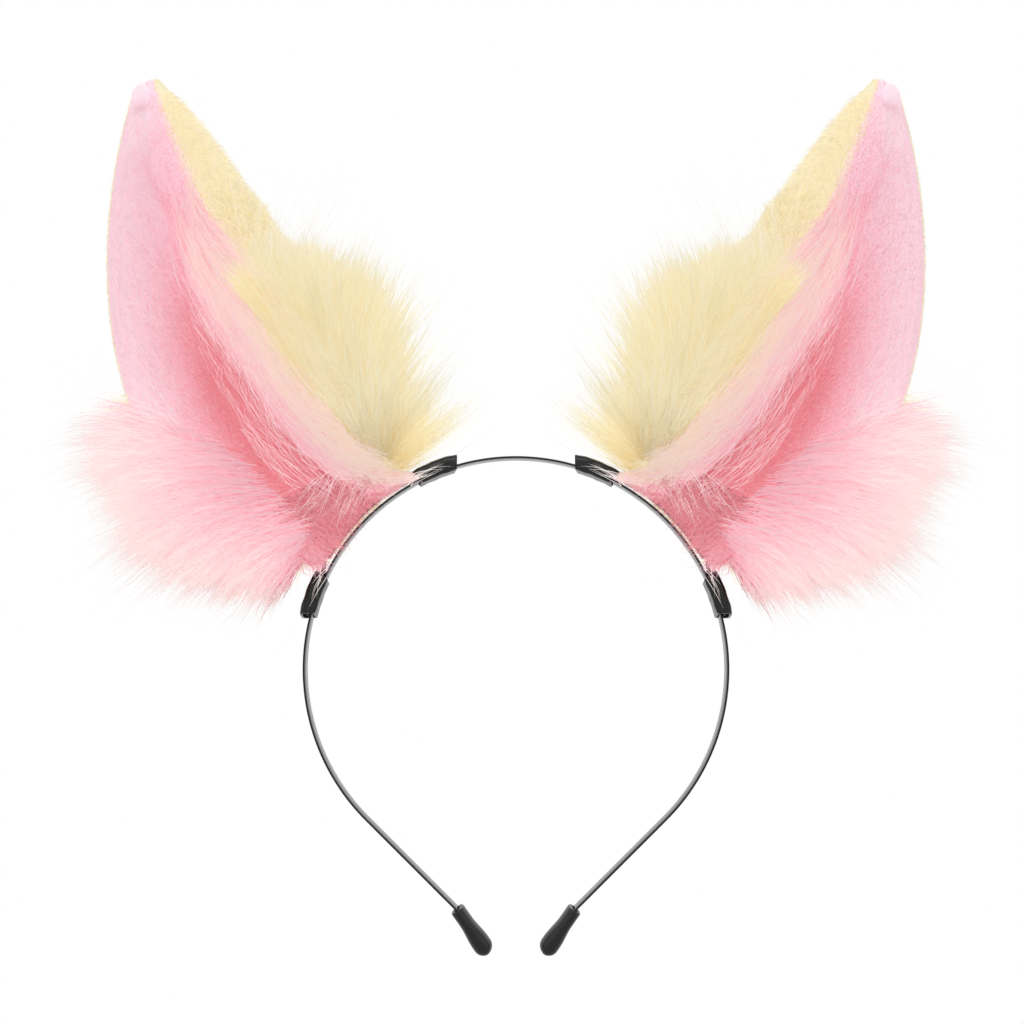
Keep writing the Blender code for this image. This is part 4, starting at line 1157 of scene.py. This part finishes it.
rng = np.random.default_rng(61)
heights, turns, up, around, out, roots = sown(
    rng, BACK, FRINGE_HAIR_COUNT, (0.03, 0.50), (0.0, 0.46),
    lambda h, t: (1.0 - eased(h + 0.3 * t, 0.30, 0.50)) * (1.0 - 0.6 * eased(t, 0.1, 0.46)), ROOT_DEPTH)
fan = fan_at(fluff_tilt(roots) + rng.normal(0.0, 0.16, len(roots)))
ways = bursting(fan, out, (0.8, 0.3), rng.normal(0.0, 0.14, fan.shape))
grown = (1.0 - 0.5 * eased(heights, 0.3, 0.5)) * (0.62 + 0.38 * eased(heights, 0.04, 0.14))
lengths = FRINGE_HAIR_LENGTH * grown * (0.35 + 0.65 * rng.random(len(roots)))
lines = groomed(rng, hair_lines(roots, ways, lengths, 5), 30, 0.45, 0.0006, 1.0)
normals = mixed_ways((out, 0.5), (fan, 0.2), ((0.0, 1.0, 0.3), 0.9))
add_fur(62, "back_fringe", lines, normals, LONG_HAIR_WIDTH, 0.5 + rng.normal(0.0, 0.2, len(roots)),
        cream_fur, "yellow_plush")


# ---------------------------------------------------------------- foot fluff
# At the foot both panels are left with longer pile. It hides the tape and the wire, reaches down to
# the band, and its ends hang over the band's front.

FOOT_HAIR_LENGTH = 0.0105
FOOT_HAIR_COUNTS = {"lining": 9000, "back": 7000}

# Deep pinks at the lining's foot: the dye darkened with painted shadow near the tubes.
foot_pink_painted_shade = fur_material("foot_pink_painted_shade", ((214, 134, 144), (234, 158, 168), (247, 196, 206)),
                         ((224, 146, 155), (242, 176, 185), (250, 212, 220)), glow=(222, 200, 200))

for kind, skin, slot, finish, seed, front_way, lift, droop, grown in (
        ("lining", LINING, "pink_plush", foot_pink_painted_shade, 71, FRONT_WAY, 1.0, 1.0, 1.0),
        ("back", BACK, "yellow_plush", cream_fur, 73, -FRONT_WAY, 0.8, 0.3, 0.65)):
    rng = np.random.default_rng(seed)
    count = FOOT_HAIR_COUNTS[kind]
    heights, turns, up, around, out, roots = sown(
        rng, skin, count, (0.005, 0.15), (0.02, 1.0),
        lambda h, t: (1.0 - 0.7 * eased(h, 0.03, 0.15))
        * (1.0 - 0.85 * eased(t, 0.72, 0.88) * eased(h, 0.0, 0.04)), ROOT_DEPTH)
    inwards = unit((RING_CENTRE - roots) * (1.0, 0.0, 1.0))
    stray = rng.normal(0.0, 0.30, roots.shape)
    ways = (mixed_ways((front_way, lift), (out, 0.3), (inwards, 0.2)) + stray,
            mixed_ways((front_way, 0.5 * lift), (inwards, 0.7 * droop)) + stray * droop,
            mixed_ways((front_way, 0.1), (inwards, droop)) + stray * droop)
    lengths = FOOT_HAIR_LENGTH * (0.45 + 0.55 * rng.random(count)) * (1.0 - 0.4 * eased(turns, 0.5, 0.9))
    lines = groomed(rng, hair_lines(roots, ways, lengths * grown, 4), 18, 0.5, 0.0010, 1.0)
    # Hues run lower towards the inner side; on the lining's foot this deep end is partly painted shadow
    # beside the tubes.
    hues = 0.18 + 0.6 * (1.0 - eased(turns, 0.0, 0.4)) + rng.normal(0.0, 0.22, count)
    add_fur(seed + 1, kind + "_foot_fluff", lines, mixed_ways((out, 0.5), (front_way, 0.6)),
            LONG_HAIR_WIDTH, hues, finish, slot)


# ---------------------------------------------------------------- stray hairs
# Single fine hairs have come loose from their locks. They stand out round the tufts, curl across the
# fold, and some are trapped by the tubes as these shrink.

STRAY_HAIR_WIDTH = 0.00010
TUBE_HAIR_COUNTS = {"upper": 14, "lower": 7}
TUBE_HAIR_WIDTH = 0.00018
TUBE_HAIR_GAP = 0.00025

stray_fur = fur_material("stray_fur", ((253, 226, 230), (254, 236, 236), (254, 244, 230)),
                         ((255, 248, 248), (255, 250, 248), (255, 252, 242)), 0.0, glow=(248, 244, 244))

rng = np.random.default_rng(81)
bundles = []
for skin, course, count, places, spread, length, hue in (
        (LINING, "outwards", 500, ((0.03, 0.40), (0.0, 0.16)), 0.40, 0.046, 0.4),
        (BACK, "outwards", 420, ((0.08, 0.58), (0.45, 1.0)), 0.40, 0.038, 0.95),
        (LINING, "down", 150, ((0.12, 0.66), (0.45, 0.88)), 0.25, 0.021, 0.0),
        (LINING, "over_fold", 110, ((0.03, 0.16), (0.55, 1.0)), 0.30, 0.017, 0.0),
        (BACK, "outwards", 300, ((0.05, 0.45), (0.0, 0.5)), 0.45, 0.034, 0.8)):
    heights, turns, up, around, out, roots = sown(rng, skin, count, *places)
    if course == "outwards":
        over_crown = mixed_ways((fan_from(TUFT_FOCUS, roots), 0.8), (-ear_across, 0.5))
        fan = np.where((turns < 0.5)[:, None], fan_at(fluff_tilt(roots)), over_crown)
    elif course == "down":
        fan = mixed_ways((up, -1.0), (around, 0.35))
    else:
        fan = mixed_ways((around, -1.0), (up, -0.5), (FRONT_WAY, 0.4))
    bend = rng.normal(0.0, spread, (2, count, 3))
    ways = (mixed_ways((out, 0.9), (fan, 0.6)) + 0.5 * bend[0],
            mixed_ways((out, 0.3), (fan, 1.0)) + bend[0], fan + bend[1])
    lines = hair_lines(roots, ways, length * (0.45 + 0.55 * rng.random(count)), 7)
    normals = unit(0.4 * out + 0.2 * fan - (0.0, 1.0, -0.5))
    bundles.append((lines, normals, hue + rng.normal(0.0, 0.1, count)))
lines, normals, hues = (np.concatenate(parts) for parts in zip(*bundles))
add_fur(82, "stray_hairs", kept_within(lines), normals, STRAY_HAIR_WIDTH, hues, stray_fur,
        "pink_long_fur")

tube_front = -(BAND_WIDTH / 2.0 + CLEARANCE + TUBE_WALL + TUBE_HAIR_GAP)
half_span = TUBE_LENGTH / WIRE_LEG_RADIUS / 2.0
share = np.linspace(0.0, 1.0, 9)[None, :]
low, high = BAND_INNER_RADIUS - 0.0006, WIRE_LEG_RADIUS + WIRE_RADIUS + 0.0004
for place, count in TUBE_HAIR_COUNTS.items():
    rng = np.random.default_rng(91)
    towards_ear = 1.0 if place == "upper" else -1.0
    start, end = rng.uniform(0.8, 1.5, (count, 1)), rng.uniform(-1.0, 0.6, (count, 1))
    angles = TUBE_ANGLES[place] + towards_ear * half_span * (start + (end - start) * share)
    first, middle, last = rng.uniform(low, high, (3, count, 1))
    radii = first * (1 - share) ** 2 + 2 * middle * share * (1 - share) + last * share ** 2
    lines = on_ring(angles, radii) + REAR_WAY * tube_front
    add_fur(92, place + "_tube_hairs", lines, np.tile(FRONT_WAY, (count, 1)), TUBE_HAIR_WIDTH,
            rng.random(count), stray_fur, "pale_pink_long_fur", body="slider")


# ---------------------------------------------------------------- foot tapes
# A short woven cotton tape, dyed to match the lining, is sewn across the ear's open foot with two
# rows of stitches, so that the fill stays in and the ear sits snugly over the band.

TAPE_THICKNESS = 0.0011
TAPE_WIDTH = 0.0056
TAPE_EDGE_RADIUS = 0.0002
TAPE_GAP = 0.0016
TAPE_MARGIN = math.radians(2.5)
STITCH_PITCH = 0.0017
STITCH_HEIGHT = 0.00022
STITCH_WIDTH = 0.00022
STITCH_OFFSET = 0.0019
WEAVE_HEIGHT = 0.00003
WEAVE_PITCH = 0.00012


def tape_rings():
    """Rings along the tape, each a flat section whose outer face rises at the stitches."""
    inner = BAND_INNER_RADIUS + BAND_THICKNESS + TAPE_GAP
    half = EAR_FOOT_SPREAD / 2.0 - TAPE_MARGIN
    rings = []
    section = rounded_section(TAPE_WIDTH, TAPE_THICKNESS - STITCH_HEIGHT, TAPE_EDGE_RADIUS, 3)
    across = np.linspace(-0.5, 0.5, 25) * (TAPE_WIDTH - 3.0 * TAPE_EDGE_RADIUS)
    for angle in np.linspace(EAR_FOOT_ANGLE + half, EAR_FOOT_ANGLE - half, 150):
        row = 0.5 + 0.5 * np.sin(2.0 * math.pi * angle * inner / STITCH_PITCH)
        rise = STITCH_HEIGHT * row * np.exp(-((np.abs(across) - STITCH_OFFSET) / STITCH_WIDTH) ** 2)
        rise = rise + WEAVE_HEIGHT * np.sin(across / WEAVE_PITCH + 40.0 * angle)
        top = np.stack([across[::-1], TAPE_THICKNESS - STITCH_HEIGHT + rise[::-1]], -1)
        outline = np.concatenate([section[:3], top, section[3:]])
        rings.append(on_ring(angle, inner + outline[:, 1]) + outline[:, :1] * REAR_WAY)
    return np.array(rings)


cotton_tape = twisted_material("cotton_tape", paint(250, 206, 214), paint(238, 176, 190), 0.85,
                               900.0, 0.5)
for label, side in (("left", -1), ("right", 1)):
    mesh = loft(label + "_woven_tape", tape_rings() * (side, 1.0, 1.0))
    add_piece(mesh, cotton_tape, label + "_ear", "tape", label + "_foot_tape")


# ---------------------------------------------------------------- fibre fill
# A loose wad of white polyester fibre between the two panels. It is lumpy, keeps the back round and
# is held only by the cloth and the wire about it.

FILL_HEIGHTS = (0.09, 0.83)
FILL_GAP = 0.0004
FILL_LUMP = 0.0009


def fill_rings():
    """Rings up a wad between the skins, a little inside them and inside the wire, with soft lumps."""
    heights, turns = np.meshgrid(np.linspace(*FILL_HEIGHTS, 40), np.linspace(0.0, 1.0, 30), indexing="ij")
    sheets = []
    for skin, phase in ((LINING, 0.0), (BACK, 1.3)):
        inset = 0.13 + 0.10 * eased(heights, 0.5, 0.85)
        places = inset + (1.0 - 2.0 * inset) * turns
        out = skin_frame(skin, heights, places)[2]
        lumps = 0.5 + 0.25 * (np.sin(31.0 * heights + 9.0 * places + phase)
                              + np.sin(17.0 * heights - 23.0 * places + 2.0 * phase))
        sheets.append(on_skin(skin, heights, places) - out * (FILL_GAP + FILL_LUMP * lumps)[..., None])
    return np.concatenate([sheets[0], sheets[1][:, ::-1]], axis=1)


fibre_fill = plush_material("fibre_fill", (222, 222, 220), (238, 238, 236), (246, 246, 244))
for label, wad in on_both_ears(loft("right_fibre_fill", fill_rings())):
    piece = add_piece(wad, fibre_fill, label + "_ear", "fibre_fill", label + "_stuffing")
